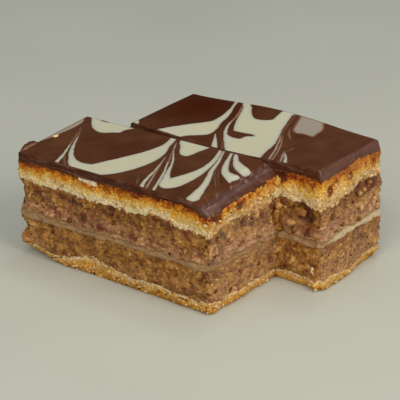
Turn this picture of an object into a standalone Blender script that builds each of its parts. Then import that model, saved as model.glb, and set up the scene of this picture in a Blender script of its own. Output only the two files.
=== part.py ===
# Walnut cake slice: two bars cut from one tray bake, lying side by side along the cut.
#
# Each bar is six layers, from the plate up: a thin base pastry, a lower walnut filling, a thin
# middle sheet of pastry, an upper walnut filling, a thick top pastry and a chocolate glaze.
# Every layer is one closed solid that runs through its bar. The rear bar has slid to the right
# along the cut, so its near face shows past the end of the front bar.
#
# Frame: X along the bars, Y across them and away from the viewer, +Z up, z = 0 under the base.

import math

import bmesh
import bpy
from mathutils import Vector, noise

MM = 0.001

HALF_LENGTH = 55.0 * MM      # the overall box, centred on the origin: crumb is trimmed to it
HALF_WIDTH = 39.4 * MM

CELL = 2.7 * MM              # size of the facets that carry the crumb relief
LAYER_GAP = 0.3 * MM         # clearance between one layer and the next
CORNER_PULL = 0.2 * MM       # how far the upright corners are worn in along each side
CRAG_SIZE = 6.0 * MM         # width of the crags on the cut faces
SHARED_CRAG = 0.3 * MM       # depth of the crags where two layers meet, the same for both
SEAM_REACH = 2.5 * MM        # the bars keep clear of each other this far past the seam's ends

CURL_START = -35.0 * MM      # left of this the front bar's base curls up off the plate
RIM_LIFT = 0.7 * MM          # the base's lower rim is rounded: lifted, and tucked in
RIM_TUCK = 0.5 * MM

# Layers from the bottom up. A row is one band of facets round the cut face, bulge is how far
# the middle of that face stands out, and crag is how deep its relief is.
LAYERS = {
    "base_pastry": {
        "floor": "underside", "roof": "base_top",
        "rows": 2, "bulge": 0.3 * MM, "crag": 0.4 * MM,
        "colour": (0.60, 0.36, 0.12), "roughness": 0.85,
    },
    "lower_filling": {
        "floor": "base_top", "roof": "sheet_bottom",
        "rows": 4, "bulge": 0.0, "crag": 0.95 * MM,
        "colour": (0.33, 0.18, 0.08), "roughness": 0.6,
    },
    "middle_sheet": {
        "floor": "sheet_bottom", "roof": "sheet_top",
        "rows": 1, "bulge": 0.0, "crag": 0.3 * MM,
        "colour": (0.50, 0.38, 0.24), "roughness": 0.7,
    },
    "upper_filling": {
        "floor": "sheet_top", "roof": "pastry_bottom",
        "rows": 4, "bulge": -0.5 * MM, "crag": 0.95 * MM,
        "colour": (0.30, 0.16, 0.07), "roughness": 0.6,
    },
    "top_pastry": {
        "floor": "pastry_bottom", "roof": "glaze_bottom",
        "rows": 3, "bulge": 0.3 * MM, "crag": 0.55 * MM,
        "colour": (0.66, 0.42, 0.16), "roughness": 0.85,
    },
    "glaze": {
        "floor": "glaze_bottom", "roof": "glaze_top",
        "rows": 2, "bulge": 0.0, "crag": 0.15 * MM,
        "colour": (0.065, 0.027, 0.014), "roughness": 0.35,
    },
}

# How far the cut face stands out of the bar's outline at each boundary.
OUTSETS = {
    "underside": -RIM_TUCK,
    "base_top": 0.1 * MM,
    "sheet_bottom": 0.5 * MM,
    "sheet_top": 0.5 * MM,
    "pastry_bottom": 0.1 * MM,
    "glaze_bottom": 0.2 * MM,
    "glaze_top": 0.0,
}

# Each bar has an outline; the height of each boundary, as its mean, its rise over the length
# and its rise over the width; swells of a boundary at the rim, as boundary, x, y, radius and
# rise; and dents and lumps of the cut faces, as x, y, z, radius and outward move.
BARS = {
    "front": {
        "left": -53.6 * MM, "right": 34.8 * MM, "near": -38.5 * MM, "far": -0.3 * MM,
        "seam_side": 1,
        "drag": 4.5 * MM,    # the knife dragged the glaze down over the right end
        "crown": 0.0,        # rise of the top's middle over its ends
        "crown_tilt": 0.0,   # how much more it rises at the far side than at the near side
        "twist": 0.5 * MM,   # lift of the near left and far right corners over the other two
        "curl": 0.195,       # slope of the base where it curls up at the left end
        "levels": {
            "underside": (0.0, 0.0, 0.0),
            "base_top": (4.6 * MM, -0.3 * MM, -1.0 * MM),
            "sheet_bottom": (15.8 * MM, 1.5 * MM, -0.2 * MM),
            "sheet_top": (18.5 * MM, 0.5 * MM, -0.3 * MM),
            "pastry_bottom": (30.3 * MM, -0.3 * MM, 1.0 * MM),
            "glaze_bottom": (38.9 * MM, 1.0 * MM, 3.0 * MM),
            "glaze_top": (42.2 * MM, 0.7 * MM, 3.3 * MM),
        },
        "swells": [
            ("base_top", -35.0 * MM, -38.5 * MM, 6.0 * MM, -1.6 * MM),
            ("base_top", -19.0 * MM, -38.5 * MM, 7.5 * MM, 2.4 * MM),
            ("base_top", 13.5 * MM, -38.5 * MM, 4.0 * MM, 0.8 * MM),
            ("sheet_top", -24.0 * MM, -38.5 * MM, 16.0 * MM, -0.9 * MM),
            ("pastry_bottom", 11.0 * MM, -38.5 * MM, 6.5 * MM, 2.3 * MM),
            ("pastry_bottom", 34.8 * MM, -38.5 * MM, 5.0 * MM, -1.6 * MM),
            ("pastry_bottom", 34.8 * MM, -28.0 * MM, 8.0 * MM, 2.2 * MM),
            ("glaze_bottom", 14.0 * MM, -38.5 * MM, 24.0 * MM, 1.2 * MM),
            ("glaze_bottom", -37.0 * MM, -38.5 * MM, 12.0 * MM, 0.5 * MM),
            ("glaze_bottom", 34.8 * MM, -8.0 * MM, 12.0 * MM, -1.8 * MM),
            ("glaze_bottom", 34.8 * MM, -27.0 * MM, 7.0 * MM, -0.5 * MM),
            ("glaze_bottom", 34.8 * MM, -38.5 * MM, 5.0 * MM, -2.2 * MM),
        ],
        "marks": [
            (-12.0 * MM, -38.5 * MM, 0.0, 15.0 * MM, -0.8 * MM),
            (-53.6 * MM, -38.5 * MM, 21.8 * MM, 2.6 * MM, -3.0 * MM),
            (-53.6 * MM, -38.5 * MM, 11.6 * MM, 2.6 * MM, -3.2 * MM),
            (-31.0 * MM, -38.5 * MM, 25.0 * MM, 4.5 * MM, -0.9 * MM),
            (31.0 * MM, -38.5 * MM, 25.5 * MM, 4.5 * MM, -1.3 * MM),
            (34.8 * MM, -20.0 * MM, 28.0 * MM, 5.0 * MM, -1.3 * MM),
            (34.8 * MM, -31.0 * MM, 36.0 * MM, 3.5 * MM, 0.9 * MM),
        ],
    },
    "rear": {
        "left": -32.4 * MM, "right": 53.6 * MM, "near": 0.3 * MM, "far": 38.5 * MM,
        "seam_side": -1,
        "drag": 1.0 * MM,
        "crown": 0.3 * MM,
        "crown_tilt": 3.6 * MM,
        "twist": -1.1 * MM,
        "curl": 0.0,
        "levels": {
            "underside": (0.0, 0.0, 0.0),
            "base_top": (4.2 * MM, -0.3 * MM, 0.0),
            "sheet_bottom": (16.0 * MM, 0.0, -0.5 * MM),
            "sheet_top": (18.8 * MM, -0.3 * MM, -0.4 * MM),
            "pastry_bottom": (31.7 * MM, 0.6 * MM, 0.6 * MM),
            "glaze_bottom": (41.2 * MM, 0.5 * MM, 1.3 * MM),
            "glaze_top": (45.6 * MM, 0.1 * MM, 0.8 * MM),
        },
        "swells": [
            ("underside", 53.6 * MM, 38.5 * MM, 7.0 * MM, 2.0 * MM),
            ("base_top", 53.6 * MM, 38.5 * MM, 8.0 * MM, 1.5 * MM),
            ("base_top", 53.6 * MM, 18.0 * MM, 5.0 * MM, -1.0 * MM),
            ("sheet_bottom", 53.6 * MM, 22.0 * MM, 6.0 * MM, 0.9 * MM),
            ("sheet_bottom", 53.6 * MM, 37.0 * MM, 8.0 * MM, 0.6 * MM),
            ("sheet_top", 53.6 * MM, 37.0 * MM, 8.0 * MM, 1.1 * MM),
            ("sheet_top", 53.6 * MM, 15.0 * MM, 7.0 * MM, 0.8 * MM),
            ("pastry_bottom", 36.0 * MM, 0.3 * MM, 7.0 * MM, 0.7 * MM),
            ("pastry_bottom", 51.0 * MM, 0.3 * MM, 5.5 * MM, -1.3 * MM),
            ("pastry_bottom", 53.6 * MM, 7.0 * MM, 4.5 * MM, -1.2 * MM),
            ("pastry_bottom", 53.6 * MM, 31.0 * MM, 7.0 * MM, 1.2 * MM),
            ("glaze_bottom", 45.0 * MM, 0.3 * MM, 13.0 * MM, 1.7 * MM),
            ("glaze_bottom", 53.6 * MM, 4.0 * MM, 5.0 * MM, -0.6 * MM),
            ("glaze_bottom", 53.6 * MM, 24.0 * MM, 9.0 * MM, 1.7 * MM),
        ],
        "marks": [
            (45.5 * MM, 0.3 * MM, 26.0 * MM, 5.0 * MM, -3.6 * MM),
            (38.5 * MM, 0.3 * MM, 20.0 * MM, 4.0 * MM, -1.6 * MM),
            (53.6 * MM, 27.0 * MM, 30.5 * MM, 4.5 * MM, -2.0 * MM),
            (53.6 * MM, 38.5 * MM, 9.5 * MM, 5.5 * MM, 2.0 * MM),
            (53.6 * MM, 38.5 * MM, 27.0 * MM, 4.5 * MM, 0.9 * MM),
            (53.6 * MM, 12.0 * MM, 1.5 * MM, 9.0 * MM, 2.0 * MM),
            (53.6 * MM, 0.3 * MM, 1.5 * MM, 4.0 * MM, 1.6 * MM),
        ],
    },
}


def clear_scene():
    for obj in list(bpy.data.objects):
        bpy.data.objects.remove(obj)


def make_material(name, colour, roughness):
    material = bpy.data.materials.new(name)
    material.use_nodes = True
    shader = material.node_tree.nodes["Principled BSDF"]
    shader.inputs["Base Color"].default_value = (*colour, 1.0)
    shader.inputs["Roughness"].default_value = roughness
    shader.inputs["Metallic"].default_value = 0.0
    return material


def bell(distance, radius):
    return math.exp(-(distance / radius) ** 2)


def boundary_height(bar, boundary, x, y, on_rim):
    """Height of a layer boundary: a tilted plane, which arches under the glaze and swells only at
    the rim, so that its inside stays flat. The glaze's top arches all over."""
    along = (x - bar["left"]) / (bar["right"] - bar["left"]) - 0.5
    across = (y - bar["near"]) / (bar["far"] - bar["near"]) - 0.5
    mean, rise_along, rise_across = bar["levels"][boundary]
    height = mean + rise_along * along + rise_across * across
    if boundary == "glaze_top" or (boundary == "glaze_bottom" and on_rim):
        height += (bar["crown"] + bar["crown_tilt"] * across) * math.cos(math.pi * along) ** 2
        height += bar["twist"] * along * across
    if boundary == "underside":
        height += bar["curl"] * max(0.0, CURL_START - x) + RIM_LIFT * on_rim
    if on_rim:
        for name, swell_x, swell_y, radius, rise in bar["swells"]:
            if name == boundary:
                height += rise * bell(math.hypot(x - swell_x, y - swell_y), radius)
    return height


def lies_on_seam(bar, side, x):
    """True on the stretch of a long side that lies against the other bar."""
    seam_start = BARS["rear"]["left"] - SEAM_REACH
    seam_end = BARS["front"]["right"] + SEAM_REACH
    return side.y == bar["seam_side"] and seam_start < x < seam_end


def cut_face_move(bar, layer, point, side, share):
    """How far a point of the cut face moves out; share is its height within the layer, 0 to 1."""
    move = OUTSETS[layer["floor"]] * (1.0 - share) + OUTSETS[layer["roof"]] * share
    move += layer["bulge"] * math.sin(math.pi * share)
    meets_layer = (share < 0.001 and layer["floor"] != "underside"
                   or share > 0.999 and layer["roof"] != "glaze_top")
    crag = SHARED_CRAG if meets_layer else layer["crag"]
    move += 2.0 * crag * noise.noise(point / CRAG_SIZE)
    for x, y, z, radius, mark_move in bar["marks"]:
        move += mark_move * bell((point - Vector((x, y, z))).length, radius)
    if lies_on_seam(bar, side, point.x):
        move = min(move, 0.0)
    if side.x and side.y:
        move = min(move, 0.0) - CORNER_PULL
    return move


def side_of(u, v):
    """Direction out of the unit block at a point of its sides, or zero inside it."""
    return Vector(((u > 0.999) - (u < 0.001), (v > 0.999) - (v < 0.001), 0.0))


def gridded_block(columns, ranks, rows):
    """A unit cube, one corner at the origin, cut into a grid by planes."""
    bm = bmesh.new()
    bmesh.ops.create_cube(bm, size=1.0)
    bmesh.ops.translate(bm, verts=bm.verts, vec=(0.5, 0.5, 0.5))
    for axis, count in enumerate((columns, ranks, rows)):
        normal = Vector((0.0, 0.0, 0.0))
        normal[axis] = 1.0
        for step in range(1, count):
            bmesh.ops.bisect_plane(bm, geom=bm.verts[:] + bm.edges[:] + bm.faces[:], dist=1e-5,
                                   plane_co=normal * (step / count), plane_no=normal)
    return bm


def join_cap(bm, direction):
    """Joins the cells inside the top cap (direction 1) or the bottom cap (-1) into one face."""
    inner = [face for face in bm.faces if face.normal.z * direction > 0.5
             and not any(side_of(*vert.co.xy).length for vert in face.verts)]
    bmesh.ops.dissolve_faces(bm, faces=inner, use_verts=False)


def split_cap_cells(bm):
    """Splits the caps' cells all along the same diagonal, so that the caps of two layers match."""
    for face in bm.faces[:]:
        if len(face.verts) == 4 and abs(face.normal.z) > 0.5:
            corners = sorted(face.verts, key=lambda vert: vert.co.x + vert.co.y)
            bmesh.ops.connect_verts(bm, verts=[corners[0], corners[-1]])


def shape_layer(bm, bar, layer):
    """Moves each point of the unit block to its place in the bar."""
    has_floor_gap = layer["floor"] != "underside"
    is_glaze = layer["roof"] == "glaze_top"
    for vert in bm.verts:
        u, v, share = vert.co
        right = bar["right"] - bar["drag"] * share * is_glaze
        x = bar["left"] + (right - bar["left"]) * u
        y = bar["near"] + (bar["far"] - bar["near"]) * v
        side = side_of(u, v)
        on_rim = side.length > 0.0
        floor = boundary_height(bar, layer["floor"], x, y, on_rim) + LAYER_GAP / 2 * has_floor_gap
        roof = boundary_height(bar, layer["roof"], x, y, on_rim) - LAYER_GAP / 2 * (not is_glaze)
        point = Vector((x, y, floor + (roof - floor) * share))
        if on_rim:
            point += side * cut_face_move(bar, layer, point, side, share)
        point.x = max(-HALF_LENGTH, min(HALF_LENGTH, point.x))
        point.y = max(-HALF_WIDTH, min(HALF_WIDTH, point.y))
        vert.co = point


def make_layer(bar_name, layer_name, material, collection):
    bar, layer = BARS[bar_name], LAYERS[layer_name]
    columns = round((bar["right"] - bar["left"]) / CELL)
    ranks = round((bar["far"] - bar["near"]) / CELL)
    bm = gridded_block(columns, ranks, layer["rows"])
    if layer["roof"] != "glaze_top":
        join_cap(bm, 1)
    if layer["floor"] != "underside":
        join_cap(bm, -1)
    shape_layer(bm, bar, layer)
    split_cap_cells(bm)
    name = f"{bar_name}_{layer_name}"
    mesh = bpy.data.meshes.new(name)
    bm.to_mesh(mesh)
    bm.free()
    mesh.materials.append(material)
    collection.objects.link(bpy.data.objects.new(name, mesh))


def main():
    clear_scene()
    collection = bpy.data.collections.new("walnut_cake_slice")
    bpy.context.scene.collection.children.link(collection)
    for layer_name, layer in LAYERS.items():
        material = make_material(layer_name, layer["colour"], layer["roughness"])
        for bar_name in BARS:
            make_layer(bar_name, layer_name, material, collection)


main()
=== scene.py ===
# Walnut cake slice: two bars cut from one tray bake, lying side by side along the cut.
import math

import bmesh
import bpy
import numpy as np
from mathutils import Matrix, Vector, noise


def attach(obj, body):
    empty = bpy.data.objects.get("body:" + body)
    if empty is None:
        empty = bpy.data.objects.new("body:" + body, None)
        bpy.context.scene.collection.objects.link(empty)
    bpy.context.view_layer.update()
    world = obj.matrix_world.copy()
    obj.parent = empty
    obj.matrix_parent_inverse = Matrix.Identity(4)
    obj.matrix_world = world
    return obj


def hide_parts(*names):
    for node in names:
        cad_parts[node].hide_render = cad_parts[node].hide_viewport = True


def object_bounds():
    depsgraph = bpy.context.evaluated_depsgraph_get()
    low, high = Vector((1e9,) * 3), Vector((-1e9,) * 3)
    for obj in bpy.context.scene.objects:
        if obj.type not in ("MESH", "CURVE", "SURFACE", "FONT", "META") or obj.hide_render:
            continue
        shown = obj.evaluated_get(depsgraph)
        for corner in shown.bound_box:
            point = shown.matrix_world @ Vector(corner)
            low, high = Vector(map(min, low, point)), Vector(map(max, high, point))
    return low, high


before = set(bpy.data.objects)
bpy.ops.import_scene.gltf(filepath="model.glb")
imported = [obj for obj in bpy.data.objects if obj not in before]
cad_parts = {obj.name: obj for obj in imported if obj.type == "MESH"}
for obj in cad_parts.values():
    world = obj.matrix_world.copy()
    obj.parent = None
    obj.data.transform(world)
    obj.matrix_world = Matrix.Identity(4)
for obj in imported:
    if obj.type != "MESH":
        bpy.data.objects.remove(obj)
cadLow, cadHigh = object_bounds()
mm = 0.001

# ---- small helpers


def linear(hexText):
    # an sRGB hex colour as the linear colour that the shaders take
    channels = [int(hexText[i:i + 2], 16) / 255 for i in (1, 3, 5)]
    return tuple(c / 12.92 if c <= 0.04045 else ((c + 0.055) / 1.055) ** 2.4 for c in channels) + (1.0,)


def addNode(tree, kind, settings=None):
    # settings are the node's own properties, and its inputs' values or the nodes that feed them
    node = tree.nodes.new(kind)
    for key, value in (settings or {}).items():
        source = value.outputs[0] if isinstance(value, bpy.types.Node) else value
        if isinstance(source, bpy.types.NodeSocket):
            tree.links.new(source, node.inputs[key])
        elif isinstance(key, str) and hasattr(node, key):
            setattr(node, key, value)
        else:
            node.inputs[key].default_value = value
    return node


def fillRamp(rampNode, stops):
    # stops are place and sRGB hex
    elements = rampNode.color_ramp.elements
    while len(elements) < len(stops):
        elements.new(0.5)
    for element, (place, colour) in zip(elements, stops):
        element.position = place
        element.color = linear(colour)


def setInputs(modifier, values):
    # a modifier's inputs are set by the socket's identifier
    for item in modifier.node_group.interface.items_tree:
        if item.item_type == "SOCKET" and item.in_out == "INPUT" and item.name in values:
            modifier[item.identifier] = values[item.name]


def applied(obj):
    # the evaluated object as a plain mesh, with the modifiers gone
    depsgraph = bpy.context.evaluated_depsgraph_get()
    depsgraph.update()
    mesh = bpy.data.meshes.new_from_object(obj.evaluated_get(depsgraph))
    obj.modifiers.clear()
    old = obj.data
    obj.data = mesh
    bpy.data.meshes.remove(old)
    return obj


def keepInside(mesh):
    # no crumb stands out of the slice's own box
    count = len(mesh.vertices)
    points = np.empty(count * 3, np.float32)
    mesh.vertices.foreach_get("co", points)
    points = np.clip(points.reshape(-1, 3), np.array(cadLow) + 1e-5, np.array(cadHigh) - 1e-5)
    mesh.vertices.foreach_set("co", points.ravel())
    mesh.update()


def storeNumbers(mesh, name, values, kind="FLOAT"):
    attribute = mesh.attributes.new(name, kind, "POINT")
    field = "value" if kind == "FLOAT" else "vector"
    attribute.data.foreach_set(field, np.asarray(values, np.float32).ravel())


def dress(obj, node):
    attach(obj, "root")
    if node:
        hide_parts(node)


# ---- the bars' form, in millimetres, as their solids have it

boxHalf = {"x": 55.0, "y": 39.4}
seamReach = 2.5              # the bars keep clear of each other this far past the seam's ends
cragSize = 6.0
seamFill = 0.27              # along the seam the crumb of both bars meets
sharedCrag = 0.3             # depth of the crags where two layers meet
cornerRadius = 0.7
curlStart = -35.0
rimLift = 0.7

outsets = {
    "underside": -0.5, "base_top": 0.1, "sheet_bottom": 0.5, "sheet_top": 0.5,
    "pastry_bottom": 0.1, "glaze_bottom": 0.2, "glaze_top": 0.0,
}

# how ragged each boundary is at the cut: size and height of its teeth
teeth = {
    "underside": (5.0, 0.0), "base_top": (2.6, 0.75), "sheet_bottom": (4.0, 0.45),
    "sheet_top": (4.5, 0.6), "pastry_bottom": (2.0, 0.9), "glaze_bottom": (2.6, 0.35),
    "glaze_top": (6.0, 0.0),
}

# levels are mean, rise over the length and rise over the width; swells are boundary, x, y,
# radius and rise at the rim; marks are x, y, z, radius and outward move of the cut face
# each bar also gives x, y, radius and strength of a painted shade on its glaze top, where the top catches
# less reflected light
bars = {
    "front": {
        "left": -53.6, "right": 34.8, "near": -38.5, "far": -0.3, "seamSide": 1,
        "drag": 4.5, "dry": 0.15, "bloom": 0.92, "endRadius": 3.0, "rich": (-20.0, -22.0, 10.0, 0.35),
        "crown": 0.0, "crownTilt": 0.0, "twist": 0.5, "curl": 0.195,
        "levels": {
            "underside": (0.0, 0.0, 0.0), "base_top": (4.6, -0.3, -1.0),
            "sheet_bottom": (15.8, 1.5, -0.2), "sheet_top": (18.5, 0.5, -0.3),
            "pastry_bottom": (30.3, -0.3, 1.0), "glaze_bottom": (38.9, 1.0, 3.0),
            "glaze_top": (42.2, 0.7, 3.3),
        },
        "swells": [
            ("base_top", -35.0, -38.5, 6.0, -1.6), ("base_top", -19.0, -38.5, 7.5, 2.4),
            ("base_top", 13.5, -38.5, 4.0, 0.8), ("sheet_top", -24.0, -38.5, 16.0, -0.9),
            ("pastry_bottom", 11.0, -38.5, 6.5, 2.3), ("pastry_bottom", 34.8, -38.5, 5.0, -1.6),
            ("pastry_bottom", 34.8, -28.0, 8.0, 2.2), ("glaze_bottom", 14.0, -38.5, 24.0, 1.2),
            ("glaze_bottom", -37.0, -38.5, 12.0, 0.5),
            ("glaze_bottom", 34.8, -8.0, 12.0, -1.8), ("glaze_bottom", 34.8, -27.0, 7.0, -0.5),
            ("glaze_bottom", 34.8, -38.5, 5.0, -2.2),
        ],
        "marks": [
            (-12.0, -38.5, 0.0, 15.0, -0.8),
            (-53.6, -38.5, 21.8, 2.6, -3.0), (-53.6, -38.5, 11.6, 2.6, -3.2),
            (-31.0, -38.5, 25.0, 4.5, -0.9), (31.0, -38.5, 25.5, 4.5, -1.3),
            (34.8, -20.0, 28.0, 5.0, -1.3), (34.8, -31.0, 36.0, 3.5, 0.9),
        ],
        "stains": [
            (-22.8, -38.5, 37.4, 1.3, -0.7), (-21.0, -38.5, 37.2, 1.3, -0.8),
            (-19.2, -38.5, 37.1, 1.3, -0.8), (-17.4, -38.5, 36.9, 1.3, -0.8),
            (-15.6, -38.5, 36.7, 1.3, -0.7), (-22.3, -38.5, 22.3, 2.1, 1.1),
            (-13.6, -38.5, 21.0, 2.1, 1.0), (-9.0, -38.5, 29.0, 1.6, 1.0),
            (-2.9, -38.5, 29.0, 1.6, 0.9), (0.3, -38.5, 20.9, 1.8, 0.6), (17.7, -38.5, 29.0, 3.0, 0.7),
            (25.5, -38.5, 28.0, 3.0, 0.6), (20.0, -38.5, 7.5, 4.0, 0.40),
            (-20.0, -38.5, 9.0, 4.0, 0.40), (0.0, -38.5, 12.8, 3.0, 0.35),
            (-38.0, -38.5, 21.0, 3.5, 0.35), (8.0, -38.5, 8.0, 2.5, 0.30),
            (-44.0, -38.5, 27.0, 3.0, 0.6), (11.0, -38.5, 30.0, 2.0, 0.6),
            (-33.3, -38.5, 27.9, 3.5, 0.6), (34.8, -22.3, 36.2, 1.9, 1.3),
            (34.8, -26.1, 37.0, 1.1, -0.9), (34.8, -37.0, 36.3, 1.7, 1.3),
            (34.8, -31.7, 35.6, 1.3, -0.9), (34.8, -12.2, 33.4, 1.5, -0.8),
            (34.8, -34.0, 37.0, 2.2, 0.8), (34.8, -18.6, 27.8, 1.6, 1.2), (34.8, -19.6, 21.8, 1.8, 0.6),
            (34.0, -38.5, 27.8, 2.2, 0.7), (34.8, -34.8, 36.3, 1.3, 0.8), (34.8, -29.6, 37.2, 1.3, 0.9),
            (34.8, -24.2, 37.4, 1.2, 0.8), (34.8, -17.0, 38.2, 1.3, 0.8), (34.8, -19.9, 37.2, 1.2, 0.7),
            (34.8, -8.0, 38.4, 1.2, 0.7), (34.8, -27.0, 34.9, 1.0, 0.7), (34.8, -9.2, 28.3, 1.6, 0.8),
            (34.8, -12.9, 37.6, 2.2, 0.5), (34.8, -3.0, 29.0, 1.6, 0.7), (34.8, -34.6, 34.3, 1.8, 0.55),
            (34.8, -27.6, 35.6, 1.4, 0.55), (34.8, -9.0, 35.0, 1.6, 0.4),
        ],
    },
    "rear": {
        "left": -32.4, "right": 53.6, "near": 0.3, "far": 38.5, "seamSide": -1,
        "drag": 1.0, "dry": 0.9, "bloom": 1.25, "endRadius": 0.8, "rich": (-22.0, 30.0, 26.0, 0.95),
        "crown": 0.3, "crownTilt": 3.6, "twist": -1.1, "curl": 0.0,
        "levels": {
            "underside": (0.0, 0.0, 0.0), "base_top": (4.2, -0.3, 0.0),
            "sheet_bottom": (16.0, 0.0, -0.5), "sheet_top": (18.8, -0.3, -0.4),
            "pastry_bottom": (31.7, 0.6, 0.6), "glaze_bottom": (41.2, 0.5, 1.3),
            "glaze_top": (45.6, 0.1, 0.8),
        },
        "swells": [
            ("underside", 53.6, 38.5, 7.0, 2.0), ("base_top", 53.6, 38.5, 8.0, 1.5),
            ("base_top", 53.6, 18.0, 5.0, -1.0), ("sheet_bottom", 53.6, 22.0, 6.0, 0.9),
            ("sheet_bottom", 53.6, 37.0, 8.0, 0.6), ("sheet_top", 53.6, 37.0, 8.0, 1.1),
            ("sheet_top", 53.6, 15.0, 7.0, 0.8), ("pastry_bottom", 36.0, 0.3, 7.0, 0.7),
            ("pastry_bottom", 51.0, 0.3, 5.5, -1.3),
            ("pastry_bottom", 53.6, 7.0, 4.5, -1.2), ("pastry_bottom", 53.6, 31.0, 7.0, 1.2),
            ("glaze_bottom", 45.0, 0.3, 13.0, 1.7), ("glaze_bottom", 53.6, 4.0, 5.0, -0.6),
            ("glaze_bottom", 53.6, 24.0, 9.0, 1.7),
        ],
        "marks": [
            (45.5, 0.3, 26.0, 5.0, -3.6), (38.5, 0.3, 20.0, 4.0, -1.6),
            (53.6, 27.0, 30.5, 4.5, -2.0), (53.6, 38.5, 9.5, 5.5, 2.0),
            (53.6, 38.5, 27.0, 4.5, 0.9), (53.6, 12.0, 1.5, 9.0, 2.0), (53.6, 0.3, 1.5, 4.0, 1.6),
        ],
        "stains": [
            (47.6, 3.0, 27.0, 2.8, 1.6), (44.0, 2.6, 25.6, 1.8, 1.2), (45.4, 0.8, 30.9, 1.5, 1.1),
            (37.5, 0.3, 30.4, 2.4, 0.7), (47.7, 0.8, 21.1, 1.7, 1.0), (36.5, 0.3, 20.0, 2.0, 0.7),
            (53.6, 5.5, 37.2, 1.6, 1.2), (53.6, 4.2, 35.6, 1.3, 0.8), (53.6, 18.7, 38.4, 1.9, 1.2),
            (53.6, 33.6, 38.8, 2.2, 1.2), (52.6, 25.2, 30.6, 2.8, 1.3), (53.6, 33.4, 30.9, 2.9, 1.0),
            (53.6, 35.3, 14.9, 1.3, 0.9), (53.6, 7.0, 25.9, 2.2, 0.6), (53.6, 16.4, 30.4, 1.6, 0.9),
            (36.0, 0.3, 40.4, 2.6, 1.2), (38.4, 0.3, 40.2, 2.4, 0.9), (42.5, 0.3, 41.0, 1.6, 0.8),
            (46.0, 0.3, 40.6, 1.5, 0.7), (50.5, 0.3, 39.4, 1.6, 0.8), (53.6, 9.5, 39.4, 1.3, 0.7),
            (53.6, 27.5, 40.2, 1.3, 0.7), (53.6, 30.5, 35.2, 3.2, -0.75),
            (53.6, 36.6, 35.6, 2.0, -0.75), (53.6, 29.5, 29.2, 3.0, 0.45),
        ],
    },
}


def noiseAt(x, y, z, size, seed=0.0):
    # smooth noise from -1 to 1 at points in millimetres
    scaled = np.stack([x, y, z], -1) / size + seed
    return np.array([noise.noise(Vector(point)) for point in scaled.reshape(-1, 3)]).reshape(x.shape)


def barHeight(bar, boundary, x, y, onRim):
    # height of a layer boundary: a tilted plane that arches under the glaze and swells at the rim
    along = (x - bar["left"]) / (bar["right"] - bar["left"]) - 0.5
    across = (y - bar["near"]) / (bar["far"] - bar["near"]) - 0.5
    mean, riseAlong, riseAcross = bar["levels"][boundary]
    height = mean + riseAlong * along + riseAcross * across
    if boundary == "glaze_top" or (boundary == "glaze_bottom" and onRim):
        arch = (bar["crown"] + bar["crownTilt"] * across) * np.cos(math.pi * along) ** 2
        height = height + arch + bar["twist"] * along * across
    if boundary == "underside":
        height = height + bar["curl"] * np.maximum(0.0, curlStart - x) + rimLift * onRim
    if onRim:
        for name, swellX, swellY, radius, rise in bar["swells"]:
            if name == boundary:
                height = height + rise * np.exp(-((x - swellX) ** 2 + (y - swellY) ** 2) / radius ** 2)
    return height


def frayOf(bar, boundary, x, y):
    # how far the teeth of a ragged boundary stand above its height
    size, depth = teeth[boundary]
    if boundary == "glaze_bottom":
        depth = depth * (1.0 + 0.5 * (x > bar["right"] - 2.0))
    flat = np.full_like(x, bar["levels"][boundary][0])
    return depth * (noiseAt(x, y, flat, size) + 0.45 * noiseAt(x, y, flat, size / 3))


def roundedCorner(bar, x, y, right):
    # pulls points near an upright corner onto its round, and gives the direction out of the bar
    coreX = np.clip(x, bar["left"] + cornerRadius, right - cornerRadius)
    coreY = np.clip(y, bar["near"] + cornerRadius, bar["far"] - cornerRadius)
    dx, dy = x - coreX, y - coreY
    length = np.maximum(np.hypot(dx, dy), 1e-9)
    squash = np.maximum(np.abs(dx), np.abs(dy)) / length
    return coreX + dx * squash, coreY + dy * squash, dx / length, dy / length


def borderSteps(columns, ranks):
    # the grid steps round the bar's outline, anticlockwise from the near left corner
    near = [(i, 0) for i in range(columns)]
    right = [(columns, j) for j in range(ranks)]
    far = [(columns - i, ranks) for i in range(columns)]
    left = [(0, ranks - j) for j in range(ranks)]
    return np.array(near + right + far + left)


def cutFace(bar, layer, u, v, share):
    # points of a layer's cut face, in millimetres, with their outward direction and seam mask
    right = bar["right"] - bar["drag"] * share ** 1.4 * (layer["roof"] == "glaze_top")
    x = bar["left"] + (right - bar["left"]) * u
    y = bar["near"] + (bar["far"] - bar["near"]) * v
    floor = barHeight(bar, layer["floor"], x, y, True)
    roof = barHeight(bar, layer["roof"], x, y, True)
    z = floor + (roof - floor) * share
    z = z + frayOf(bar, layer["floor"], x, y) * (1.0 - share) ** layer["fade"]
    z = z + frayOf(bar, layer["roof"], x, y) * share ** layer["fade"]
    onSeam = ((v > 0.999) if bar["seamSide"] > 0 else (v < 0.001)) \
        & (x > bars["rear"]["left"] - seamReach) & (x < bars["front"]["right"] + seamReach)
    px, py, nx, ny = roundedCorner(bar, x, y, right)
    move = outsets[layer["floor"]] * (1 - share) + outsets[layer["roof"]] * share
    move = move + layer["bulge"] * np.sin(math.pi * share)
    edgeBlend = np.minimum(1.0, 4.0 * np.minimum(share, 1.0 - share))
    floorCrag = layer["crag"] if layer["floor"] == "underside" else sharedCrag
    roofCrag = layer["crag"] if layer["roof"] == "glaze_top" else sharedCrag
    edgeCrag = np.where(share < 0.5, floorCrag, roofCrag)
    crag = edgeCrag + (layer["crag"] - edgeCrag) * edgeBlend
    move = move + 2.0 * crag * noiseAt(px, py, z, cragSize)
    for markX, markY, markZ, radius, depth in bar["marks"]:
        distance2 = (px - markX) ** 2 + (py - markY) ** 2 + (z - markZ) ** 2
        move = move + depth * np.exp(-distance2 / radius ** 2)
    cornerness = np.minimum(np.abs(nx), np.abs(ny)) * math.sqrt(2.0)
    move = move - cornerness * np.maximum(move, 0.0)
    move = np.where(onSeam, np.minimum(move, 0.0) + seamFill, move)
    return px + nx * move, py + ny * move, z, nx, ny, onSeam


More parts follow.
